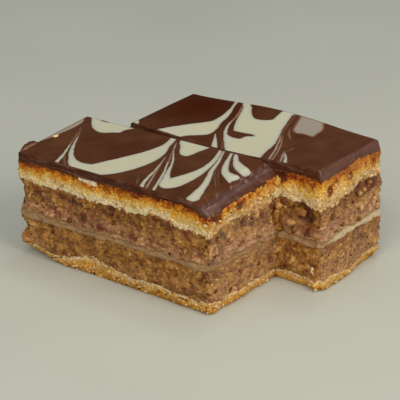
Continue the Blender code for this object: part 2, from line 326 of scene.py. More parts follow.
# ---- crumb layers: closed shells with a fine cut face, whose relief Geometry Nodes then make

# relief sizes and depths in millimetres: broad clumps, lumps of crumb, pores, and grain
layers = {
    "base_pastry": {
        "floor": "underside", "roof": "base_top", "bulge": 0.3, "crag": 0.4, "fade": 1.5,
        "slot": "base_pastry",
        "relief": {"clumpSize": 3.5, "clumpDepth": 0.40, "lumpSize": 1.3, "lumpDepth": 0.30,
                   "poreSize": 2.0, "poreDepth": 1.0, "poreStart": 0.53,
                   "grainSize": 0.8, "grainDepth": 0.55, "flatten": 1.4},
    },
    "lower_filling": {
        "floor": "base_top", "roof": "sheet_bottom", "bulge": 0.0, "crag": 0.95, "fade": 2.0,
        "slot": "walnut_filling",
        "relief": {"clumpSize": 4.0, "clumpDepth": 0.85, "lumpSize": 2.4, "lumpDepth": 0.34,
                   "poreSize": 4.0, "poreDepth": 1.0, "poreStart": 0.57,
                   "grainSize": 1.1, "grainDepth": 0.30, "flatten": 1.3},
    },
    "middle_sheet": {
        "floor": "sheet_bottom", "roof": "sheet_top", "bulge": 0.0, "crag": 0.3, "fade": 1.0,
        "slot": "middle_sheet",
        "relief": {"clumpSize": 4.0, "clumpDepth": 0.45, "lumpSize": 1.9, "lumpDepth": 0.14,
                   "poreSize": 2.4, "poreDepth": 0.6, "poreStart": 0.58,
                   "grainSize": 0.7, "grainDepth": 0.22, "flatten": 1.6},
    },
    "upper_filling": {
        "floor": "sheet_top", "roof": "pastry_bottom", "bulge": -0.5, "crag": 0.95, "fade": 2.0,
        "slot": "walnut_filling",
        "relief": {"clumpSize": 4.5, "clumpDepth": 1.10, "lumpSize": 2.6, "lumpDepth": 0.42,
                   "poreSize": 4.5, "poreDepth": 1.3, "poreStart": 0.56,
                   "grainSize": 1.1, "grainDepth": 0.33, "flatten": 1.2},
    },
    "top_pastry": {
        "floor": "pastry_bottom", "roof": "glaze_bottom", "bulge": 0.3, "crag": 0.55, "fade": 2.0,
        "slot": "top_pastry",
        "relief": {"clumpSize": 3.5, "clumpDepth": 0.45, "lumpSize": 1.3, "lumpDepth": 0.24,
                   "poreSize": 2.4, "poreDepth": 0.9, "poreStart": 0.58,
                   "grainSize": 0.8, "grainDepth": 0.50, "flatten": 1.2},
    },
}

crumbStep = 0.32             # spacing of the points on a crumb layer's cut face
capInset = 1.2               # the hidden caps drop away from each other behind this rim
capGap = 0.15
dryReach = {"x": 3.0, "y": 8.0}          # the dry end of a cut, and how far from the near edge it grows


def gridFaces(firstRow, rowCount, ringCount):
    # quads of a wall whose rows close round the bar, facing outwards
    row = np.arange(rowCount - 1)[:, None] * ringCount + firstRow
    here = np.arange(ringCount)[None, :]
    ahead = (here + 1) % ringCount
    corners = [row + here, row + ahead, row + ringCount + ahead, row + ringCount + here]
    return np.stack(corners, -1).reshape(-1, 4)


def capFaces(rimStart, innerStart, centre, ringCount, facesUp):
    # a rim of quads and a fan to the middle
    here = np.arange(ringCount)
    ahead = (here + 1) % ringCount
    rim = np.stack([rimStart + here, rimStart + ahead, innerStart + ahead, innerStart + here], -1)
    fan = np.stack([innerStart + here, innerStart + ahead, np.full(ringCount, centre)], -1)
    if not facesUp:
        rim, fan = rim[:, ::-1], fan[:, ::-1]
    return rim.tolist(), fan.tolist()


def makeLayerMesh(barName, layerName):
    bar, layer = bars[barName], layers[layerName]
    columns = round((bar["right"] - bar["left"]) / crumbStep)
    ranks = round((bar["far"] - bar["near"]) / crumbStep)
    steps = borderSteps(columns, ranks)
    ringCount = len(steps)
    thickness = bar["levels"][layer["roof"]][0] - bar["levels"][layer["floor"]][0]
    rowCount = max(4, round(thickness / crumbStep)) + 1
    share = np.repeat(np.linspace(0.0, 1.0, rowCount)[:, None], ringCount, 1)
    u = np.repeat((steps[:, 0] / columns)[None, :], rowCount, 0)
    v = np.repeat((steps[:, 1] / ranks)[None, :], rowCount, 0)
    x, y, z, nx, ny, onSeam = cutFace(bar, layer, u, v, share)
    wall = np.stack([x, y, z], -1).reshape(-1, 3)
    points = [wall]
    for boundary, gap in ((layer["floor"], capGap), (layer["roof"], -capGap)):
        innerX = np.clip(x[0], bar["left"] + capInset, bar["right"] - capInset)
        innerY = np.clip(y[0], bar["near"] + capInset, bar["far"] - capInset)
        middleX = np.array([(bar["left"] + bar["right"]) / 2])
        middleY = np.array([(bar["near"] + bar["far"]) / 2])
        for capX, capY in ((innerX, innerY), (middleX, middleY)):
            height = barHeight(bar, boundary, capX, capY, False) + gap * (boundary != "underside")
            points.append(np.stack([capX, capY, height], -1))
    points = np.concatenate(points)
    points[:, 0] = np.clip(points[:, 0], -boxHalf["x"], boxHalf["x"])
    points[:, 1] = np.clip(points[:, 1], -boxHalf["y"], boxHalf["y"])
    wallCount = rowCount * ringCount
    faces = gridFaces(0, rowCount, ringCount).tolist()
    floorRim, floorFan = capFaces(0, wallCount, wallCount + ringCount, ringCount, False)
    roofStart = wallCount + ringCount + 1
    roofRim, roofFan = capFaces(wallCount - ringCount, roofStart, roofStart + ringCount, ringCount, True)
    mesh = bpy.data.meshes.new(f"{barName}_{layerName}_crumb")
    mesh.from_pydata((points * mm).tolist(), [], faces + floorRim + floorFan + roofRim + roofFan)
    hidden = len(points) - wallCount
    outward = np.stack([nx, ny, np.zeros_like(nx)], -1).reshape(-1, 3)
    storeNumbers(mesh, "outward", np.concatenate([outward, np.zeros((hidden, 3))]), "FLOAT_VECTOR")
    storeNumbers(mesh, "cut", np.concatenate([(~onSeam).ravel().astype(float), np.zeros(hidden)]))
    storeNumbers(mesh, "share", np.concatenate([share.ravel(), np.full(hidden, 0.5)]))
    storeNumbers(mesh, "fromMiddle", np.concatenate([np.abs(share.ravel() - 0.5), np.zeros(hidden)]))
    storeNumbers(mesh, "facing", np.concatenate([nx.ravel(), np.zeros(hidden)]))
    storeNumbers(mesh, "overSheet", np.full(len(points), float(layer["floor"] == "sheet_top")))
    atEnd = points[:, 0] > bar["right"] - dryReach["x"]
    fromNear = np.clip((points[:, 1] - bar["near"]) / dryReach["y"], 0.0, 1.0)
    storeNumbers(mesh, "dry", bar["dry"] * fromNear * atEnd)
    stain = np.zeros(len(points))
    for stainX, stainY, stainZ, radius, strength in bar["stains"]:
        place = points - (stainX, stainY, stainZ)
        stain = stain + strength * np.exp(-(place ** 2).sum(-1) / radius ** 2)
    storeNumbers(mesh, "stain", stain)
    return mesh


# what all crumb shares; hollow is told between two heights of the relief, in millimetres
reliefLook = {
    "seedStep": 0.13, "noiseGain": 4.0, "bend": 1.6, "lumpSoftness": 0.4, "lumpEdge": 0.1,
    "lumpGap": 0.95, "poreSoftness": 0.2, "hollowFrom": 0.25, "hollowTo": -1.1,
}


def makeReliefTree():
    look = reliefLook
    tree = bpy.data.node_groups.new("crumbRelief", "GeometryNodeTree")
    tree.interface.new_socket("Geometry", in_out="INPUT", socket_type="NodeSocketGeometry")
    for name in ("clumpSize", "clumpDepth", "lumpSize", "lumpDepth", "poreSize", "poreDepth",
                 "poreStart", "grainSize", "grainDepth", "flatten", "seed"):
        tree.interface.new_socket(name, in_out="INPUT", socket_type="NodeSocketFloat")
    tree.interface.new_socket("material", in_out="INPUT", socket_type="NodeSocketMaterial")
    tree.interface.new_socket("Geometry", in_out="OUTPUT", socket_type="NodeSocketGeometry")
    given = addNode(tree, "NodeGroupInput").outputs

    position = addNode(tree, "GeometryNodeInputPosition").outputs[0]
    flattening = addNode(tree, "ShaderNodeCombineXYZ", {"X": 1.0, "Y": 1.0, "Z": given["flatten"]})
    flattened = addNode(tree, "ShaderNodeVectorMath", {"operation": "MULTIPLY", 0: position, 1: flattening})
    seedShift = addNode(tree, "ShaderNodeMath", {
        "operation": "MULTIPLY", 0: given["seed"], 1: look["seedStep"],
    })
    shifted = addNode(tree, "ShaderNodeVectorMath", {"operation": "ADD", 0: flattened, 1: seedShift})
    scales = {}
    for name in ("clumpSize", "lumpSize", "poreSize", "grainSize"):
        scales[name] = addNode(tree, "ShaderNodeMath", {
            "operation": "DIVIDE", 0: 1.0, 1: given[name],
        }).outputs[0]

    # clumps and grain are plain noise, to both sides of the cut
    moves = []
    for name, detail in (("clump", 2.0), ("grain", 3.0)):
        swell = addNode(tree, "ShaderNodeTexNoise", {
            "Detail": detail, "Roughness": 0.6, "Vector": shifted, "Scale": scales[name + "Size"],
        })
        centred = addNode(tree, "ShaderNodeMath", {"operation": "SUBTRACT", 0: swell, 1: 0.5})
        spread = addNode(tree, "ShaderNodeMath", {
            "operation": "MULTIPLY", 0: centred, 1: look["noiseGain"],
        })
        moves.append(addNode(tree, "ShaderNodeMath", {
            "operation": "MULTIPLY", 0: spread, 1: given[name + "Depth"],
        }).outputs[0])

    # the lumps' cells are bent by noise, so that no two are alike
    bend = addNode(tree, "ShaderNodeTexNoise", {
        "Detail": 2.0, "Vector": shifted, "Scale": scales["lumpSize"],
    })
    bendCentred = addNode(tree, "ShaderNodeVectorMath", {
        "operation": "SUBTRACT", 0: bend.outputs[1], 1: (0.5, 0.5, 0.5),
    })
    bendAmount = addNode(tree, "ShaderNodeVectorMath", {
        "operation": "SCALE", 0: bendCentred, "Scale": given["lumpSize"],
    })
    bent = addNode(tree, "ShaderNodeVectorMath", {
        "operation": "MULTIPLY_ADD", 0: bendAmount, 1: (look["bend"],) * 3, 2: shifted,
    })
    lumps = addNode(tree, "ShaderNodeTexVoronoi", {
        "feature": "SMOOTH_F1", "Smoothness": look["lumpSoftness"], "Vector": bent,
        "Scale": scales["lumpSize"],
    })
    lumpHeight = addNode(tree, "ShaderNodeMapRange", {
        "From Min": look["lumpEdge"], "From Max": look["lumpGap"], "To Min": 1.0, "To Max": -1.0,
        "Value": lumps.outputs["Distance"],
    }).outputs[0]
    moves.append(addNode(tree, "ShaderNodeMath", {
        "operation": "MULTIPLY", 0: lumpHeight, 1: given["lumpDepth"],
    }).outputs[0])

    poreNoise = addNode(tree, "ShaderNodeTexNoise", {
        "Detail": 3.0, "Roughness": 0.6, "Vector": bent, "Scale": scales["poreSize"],
    })
    poreEnd = addNode(tree, "ShaderNodeMath", {
        "operation": "ADD", 0: given["poreStart"], 1: look["poreSoftness"],
    })
    pores = addNode(tree, "ShaderNodeMapRange", {
        "interpolation_type": "SMOOTHSTEP", "Value": poreNoise, "From Min": given["poreStart"],
        "From Max": poreEnd,
    }).outputs[0]
    poreMove = addNode(tree, "ShaderNodeMath", {
        "operation": "MULTIPLY", 0: pores, 1: given["poreDepth"],
    }).outputs[0]

    relief = addNode(tree, "ShaderNodeMath", {"operation": "SUBTRACT", 0: moves[0], 1: poreMove})
    for move in moves[1:]:
        relief = addNode(tree, "ShaderNodeMath", {"operation": "ADD", 0: relief, 1: move})
    cut = addNode(tree, "GeometryNodeInputNamedAttribute", {"data_type": "FLOAT", "Name": "cut"})
    outward = addNode(tree, "GeometryNodeInputNamedAttribute", {
        "data_type": "FLOAT_VECTOR", "Name": "outward",
    })
    masked = addNode(tree, "ShaderNodeMath", {"operation": "MULTIPLY", 0: relief, 1: cut})
    offset = addNode(tree, "ShaderNodeVectorMath", {"operation": "SCALE", 0: outward, "Scale": masked})

    # colour follows the relief: each lump has a tint, and hollow tells how deep a point lies, for the
    # painted shade in the finishes
    tintSplit = addNode(tree, "ShaderNodeSeparateXYZ", {0: lumps.outputs["Color"]})
    hollow = addNode(tree, "ShaderNodeMapRange", {
        "interpolation_type": "SMOOTHSTEP", "From Min": look["hollowFrom"] * mm,
        "From Max": look["hollowTo"] * mm, "Value": relief,
    })
    kept = addNode(tree, "GeometryNodeStoreNamedAttribute", {
        "Name": "hollow", "domain": "POINT", "Geometry": given["Geometry"], "Value": hollow,
    })
    kept = addNode(tree, "GeometryNodeStoreNamedAttribute", {
        "Name": "tint", "domain": "POINT", "Geometry": kept, "Value": tintSplit,
    })
    placed = addNode(tree, "GeometryNodeSetPosition", {"Geometry": kept, "Offset": offset})
    realised = addNode(tree, "GeometryNodeRealizeInstances", {"Geometry": placed})
    finished = addNode(tree, "GeometryNodeSetMaterial", {
        "Geometry": realised, "Material": given["material"],
    })
    addNode(tree, "NodeGroupOutput", {"Geometry": finished})
    return tree


# ---- finishes

# A finish is a set of fields and the coats of colour laid by them. A field is noise, the sum of other
# fields times weights, or a strength times fields and smooth steps of fields. A name that isn't one
# of its fields is a number that the mesh carries.
bumpHeight = 0.2             # millimetres
plainNoise = {
    "detail": 3.0, "roughness": 0.55, "low": 0.3, "high": 0.7, "swirl": 0.0, "stretch": (1.0, 1.0, 1.0),
}


def readField(tree, fields, name):
    if name not in fields:
        fields[name] = addNode(tree, "ShaderNodeAttribute", {"attribute_name": name}).outputs["Fac"]
    return fields[name]


def noiseField(tree, place, recipe):
    # noise of a size in millimetres, spread to run from 0 to 1
    recipe = {**plainNoise, **recipe}
    drawn = addNode(tree, "ShaderNodeMapping", {"Scale": recipe["stretch"], "Vector": place})
    texture = addNode(tree, "ShaderNodeTexNoise", {
        "Scale": 1 / (recipe["size"] * mm), "Detail": recipe["detail"], "Roughness": recipe["roughness"],
        "Distortion": recipe["swirl"], "Vector": drawn,
    })
    return addNode(tree, "ShaderNodeMapRange", {
        "From Min": recipe["low"], "From Max": recipe["high"], "Value": texture,
    }).outputs[0]


def sumField(tree, fields, total, weights):
    for name, weight in weights.items():
        total = addNode(tree, "ShaderNodeMath", {
            "operation": "MULTIPLY_ADD", 0: readField(tree, fields, name), 1: weight, 2: total,
        }).outputs[0]
    return total


def productField(tree, fields, strength, steps):
    # each step is a field as it is, or a field with the two levels that it rises between
    for step in steps:
        name, *levels = [step] if isinstance(step, str) else step
        factor = readField(tree, fields, name)
        if levels:
            factor = addNode(tree, "ShaderNodeMapRange", {
                "interpolation_type": "SMOOTHSTEP", "From Min": levels[0], "From Max": levels[1],
                "Value": factor,
            })
        strength = addNode(tree, "ShaderNodeMath", {
            "operation": "MULTIPLY", 0: factor, 1: strength,
        }).outputs[0]
    return strength


def layCoats(tree, fields, coats):
    # a coat is its strength, its steps, its colour and how it is laid; the colour is an sRGB hex, a
    # colour laid before, or a field with the stops of its ramp
    below = None
    for strength, steps, colour, *blend in coats:
        if isinstance(colour, tuple):
            ramp = addNode(tree, "ShaderNodeValToRGB", {0: readField(tree, fields, colour[0])})
            fillRamp(ramp, colour[1])
            colour = ramp.outputs[0]
        elif colour.startswith("#"):
            colour = linear(colour)
        else:
            colour = fields[colour]
        if below is None:
            below = colour
            continue
        below = addNode(tree, "ShaderNodeMix", {
            "data_type": "RGBA", "blend_type": blend[0] if blend else "MIX",
            0: productField(tree, fields, strength, steps), 6: below, 7: colour,
        }).outputs[2]
    return below


def makeFinish(name, look):
    material = bpy.data.materials.new(name)
    material.use_nodes = True
    tree = material.node_tree
    shader = tree.nodes["Principled BSDF"]
    place = addNode(tree, "ShaderNodeTexCoord").outputs["Object"]
    fields = {}
    for fieldName, recipe in look["fields"].items():
        if "size" in recipe:
            fields[fieldName] = noiseField(tree, place, recipe)
        else:
            start, parts = recipe
            combine = sumField if isinstance(parts, dict) else productField
            fields[fieldName] = combine(tree, fields, start, parts)
    for colourName, coats in look.get("colours", {}).items():
        fields[colourName] = layCoats(tree, fields, coats)
    tree.links.new(layCoats(tree, fields, look["coats"]), shader.inputs["Base Color"])
    for socketName, value in look["surface"].items():
        if isinstance(value, str):
            tree.links.new(readField(tree, fields, value), shader.inputs[socketName])
        else:
            shader.inputs[socketName].default_value = value
    if "bump" in look:
        # the finest grain of the surface
        bump = addNode(tree, "ShaderNodeBump", {
            "Strength": look["bump"], "Distance": bumpHeight * mm, "Height": fields["height"],
        })
        tree.links.new(bump.outputs[0], shader.inputs["Normal"])
    return material


crumbGrain = {"size": 0.7, "detail": 4.0, "roughness": 0.65}
# single spots where juice, crust or glaze was dragged over the cut, and bare pale ones
stainFields = {
    "dragged": (-0.40, {"stain": 1.0, "mid": 0.45, "fine": 0.35}),
    "bared": (-0.40, {"stain": 1.0, "fine": 0.5, "mid": 0.3}),
}

# Ground walnut filling, boiled with sugar and spread with jam: coarse brown crumb, each grain its own tone,
# with painted shade in the gaps, drawn out below in level, pinker and wetter streaks of jam.
fillingLook = {
    "fields": {
        "fine": crumbGrain,
        "mid": {"size": 2.1, "roughness": 0.6, "swirl": 0.5},
        "broad": {"size": 5.0},
        "streaks": {"size": 4.5, "detail": 5.0, "roughness": 0.6, "low": 0.32, "high": 0.68, "swirl": 0.9,
                    "stretch": (1.0, 1.0, 3.0)},
        "cherries": {"size": 3.2, "detail": 2.0, "roughness": 0.5, "low": 0.0, "high": 1.0,
                     "stretch": (1.0, 1.0, 3.0)},
        "tone": (-0.23, {"tint": 0.18, "fine": 0.32, "mid": 0.50, "broad": 0.44}),
        "jamTone": (-0.17, {"streaks": 0.80, "fine": 0.22, "mid": 0.30}),
        "soakLine": (0.0, {"share": 1.0, "broad": 0.5, "mid": 0.25}),
        "taken": (0.25, {"overSheet": 0.75}),      # the lower filling took up less
        "soaked": (0.9, [("soakLine", 1.0, 0.62), "taken"]),
        "sheetReach": (0.0, {"share": 1.0, "mid": 0.16, "fine": 0.06}),
        "wetness": (0.52, {"soaked": -0.22}),
        "height": (0.0, {"fine": 0.7, "mid": 0.5}),
        **stainFields,
    },
    "coats": [
        (1.0, [], ("tone", [(0.0, "#3c1c04"), (0.25, "#744410"), (0.5, "#a26c24"), (0.75, "#c49046"),
                            (1.0, "#f4d498")])),
        (1.0, ["soaked"], ("jamTone", [(0.0, "#64301a"), (0.4, "#a06c42"), (0.75, "#be8c60"),
                                       (1.0, "#f4d2ac")])),
        (0.75, [("cherries", 0.60, 0.68)], "#76260e"),
        (0.7, [("sheetReach", 0.22, 0.08), "overSheet"], "#b08e62"),   # pastry clings to its lower edge
        # painted shade in the gaps, darker the deeper they lie
        (0.75, [("hollow", 0.45, 1.0)], "#48220a"),
        (0.22, [("facing", 0.3, 0.9), "fine"], "#e0c8b0"),             # painted sheen: the ends that face the key light are hazed paler
        # painted shade under the pastry's edge, on the upper filling of the dry ends
        (0.6, [("share", 0.35, 0.85), "dry"], "#c2aa7c", "MULTIPLY"),
        (0.85, [("dragged", 0.22, 0.55)],
         ("dragged", [(0.25, "#8c4c20"), (0.6, "#6c2a12"), (1.0, "#360e06")])),
        (0.85, [("bared", -0.40, -0.75)], "#e0bc84"),
    ],
    "surface": {"Roughness": "wetness", "IOR": 1.46, "Specular IOR Level": 0.5},
    "bump": 1.0,
}

# Short pastry baked in the tray: a browned crust under the glaze that fades through gold into a
# pale, open crumb. Where the knife tore it, on the ends, crust and filling are dragged over it.
topPastryLook = {
    "fields": {
        "fine": crumbGrain,
        "mid": {"size": 1.6, "roughness": 0.6},
        "broad": {"size": 4.5},
        "patches": {"size": 3.6, "roughness": 0.6, "low": 0.0, "high": 1.0},
        "atEnd": (1.0, [("facing", 0.3, 0.9)]),
        # the browning is drawn downwards on an end that was cut moist
        "moist": (0.0, {"atEnd": 1.0, "dry": -0.75}),
        "upper": (-0.40, {"share": 1.0}),
        "drawn": (1.0, ["moist", "upper"]),
        "tone": (-0.44, {"share": 1.0, "broad": 0.30, "mid": 0.26, "fine": 0.34, "drawn": -0.42}),
        "height": (0.0, {"fine": 0.7, "mid": 0.5}),
        **stainFields,
    },
    "coats": [
        (1.0, [], ("tone", [(0.0, "#f6e4be"), (0.30, "#f0d8a2"), (0.47, "#ecc468"), (0.62, "#e2a63a"),
                            (0.76, "#ce821e"), (0.88, "#b05c10"), (1.0, "#602808")])),
        (0.4, [("mid", 0.6, 1.0)], "#c07420"),
        (0.5, ["atEnd", ("share", 0.75, 0.25)], "#cdb590", "MULTIPLY"),
        (0.45, ["dry", ("share", 0.35, 0.75)], "#a06c38"),
        (0.55, ["atEnd", ("patches", 0.45, 0.60)], "#b8703a"),
        (0.6, ["atEnd", ("patches", 0.62, 0.70)], "#7a3014"),
        # painted shade in the pores: browner where they sink, darkest in the deepest
        (0.7, [("hollow", 0.3, 0.85)], "#c48a3a", "MULTIPLY"),
        (0.6, [("hollow", 0.75, 1.0)], "#84480e"),
        (0.85, [("dragged", 0.22, 0.55)],
         ("dragged", [(0.25, "#c46c24"), (0.6, "#8c3814"), (1.0, "#4c140a")])),
        (0.85, [("bared", -0.40, -0.75)], "#f4e2c4"),
    ],
    "surface": {"Roughness": 0.8, "IOR": 1.46, "Specular IOR Level": 0.25},
    "bump": 1.0,
}

# The same pastry rolled thin and baked on the tray: pale crumb above, golden brown where it lay
# on the metal, and open, with painted shade in its pores.
basePastryLook = {
    "fields": {
        "fine": crumbGrain,
        "mid": {"size": 1.6, "roughness": 0.6},
        "broad": {"size": 5.0},
        "tone": (-0.51, {"share": 0.75, "broad": 0.30, "mid": 0.42, "fine": 0.60}),
        "height": (0.0, {"fine": 0.7, "mid": 0.5}),
    },
    "coats": [
        (1.0, [], ("tone", [(0.0, "#a86820"), (0.2, "#d49a3a"), (0.45, "#daa34a"), (0.7, "#e0ba7c"),
                            (1.0, "#f2e0bc")])),
        (0.6, [("mid", 0.6, 0.95)], "#a0641e"),
        (0.7, [("facing", 0.3, 0.9), ("broad", 0.3, 0.9)], "#b48c60"),
        # painted shade in the pores
        (0.85, [("hollow", 0.25, 0.85)], "#a0682c", "MULTIPLY"),
    ],
    "surface": {"Roughness": 0.9, "IOR": 1.46, "Specular IOR Level": 0.10},
    "bump": 1.0,
}

# The middle sheet took up moisture from both fillings: dense, doughy and a little translucent,
# drawn out in level streaks by the knife, and paler where the cut left it dry.
sheetLook = {
    "fields": {
        "fine": {"size": 0.5, "detail": 4.0, "roughness": 0.65},
        "mid": {"size": 1.5, "roughness": 0.6},
        "streaks": {"size": 3.0, "detail": 5.0, "roughness": 0.6, "stretch": (1.0, 1.0, 3.5)},
        "tone": (-0.12, {"streaks": 0.6, "fine": 0.4, "mid": 0.3}),
        "atEnd": (1.0, [("facing", 0.3, 0.9)]),
        "edges": (0.0, {"fromMiddle": 1.0, "mid": 0.32, "fine": 0.18, "atEnd": 0.32, "dry": -0.40}),
        "height": (0.0, {"fine": 0.7, "mid": 0.4}),
    },
    "coats": [
        (1.0, [], ("tone", [(0.0, "#855a34"), (0.4, "#a8825a"), (0.75, "#b09068"), (1.0, "#c6ac86")])),
        (1.0, ["dry"], ("tone", [(0.0, "#a08058"), (0.4, "#cdb792"), (1.0, "#e6dabc")])),
        (0.9, [("edges", 0.42, 0.72)], ("fine", [(0.0, "#74482a"), (1.0, "#b88e62")])),    # smeared filling
        # painted shade in the pores
        (0.5, [("hollow", 0.4, 1.0)], "#4a2a10"),
    ],
    "surface": {"Roughness": 0.5, "IOR": 1.46, "Specular IOR Level": 0.4},
    "bump": 0.7,
}

fillingFinish = makeFinish("groundWalnutFilling", fillingLook)
topPastryFinish = makeFinish("bakedTopPastry", topPastryLook)
layerFinishes = {
    "base_pastry": makeFinish("trayBakedBasePastry", basePastryLook),
    "lower_filling": fillingFinish,
    "middle_sheet": makeFinish("moistPastrySheet", sheetLook),
    "upper_filling": fillingFinish,
    "top_pastry": topPastryFinish,
}

reliefTree = makeReliefTree()
crumbPieces = {}
for barIndex, barName in enumerate(bars):
    for layerIndex, (layerName, layer) in enumerate(layers.items()):
        shell = bpy.data.objects.new(f"{barName}_{layerName}_crumb", makeLayerMesh(barName, layerName))
        bpy.context.scene.collection.objects.link(shell)
        carve = shell.modifiers.new("relief", "NODES")
        carve.node_group = reliefTree
        relief = {name: value * mm if name.endswith(("Size", "Depth")) else value
                  for name, value in layer["relief"].items()}
        relief["seed"] = 1.0 + barIndex * len(layers) + layerIndex
        relief["material"] = layerFinishes[layerName]
        setInputs(carve, relief)
        applied(shell)
        keepInside(shell.data)
        shell.data.shade_smooth()
        dress(shell, f"{barName}_{layerName}")
        crumbPieces[barName, layerName] = shell
    print(f"{barName} bar: {len(layers)} crumb layers cut")

# ---- glaze: poured dark chocolate with cream-white feathering drawn through it

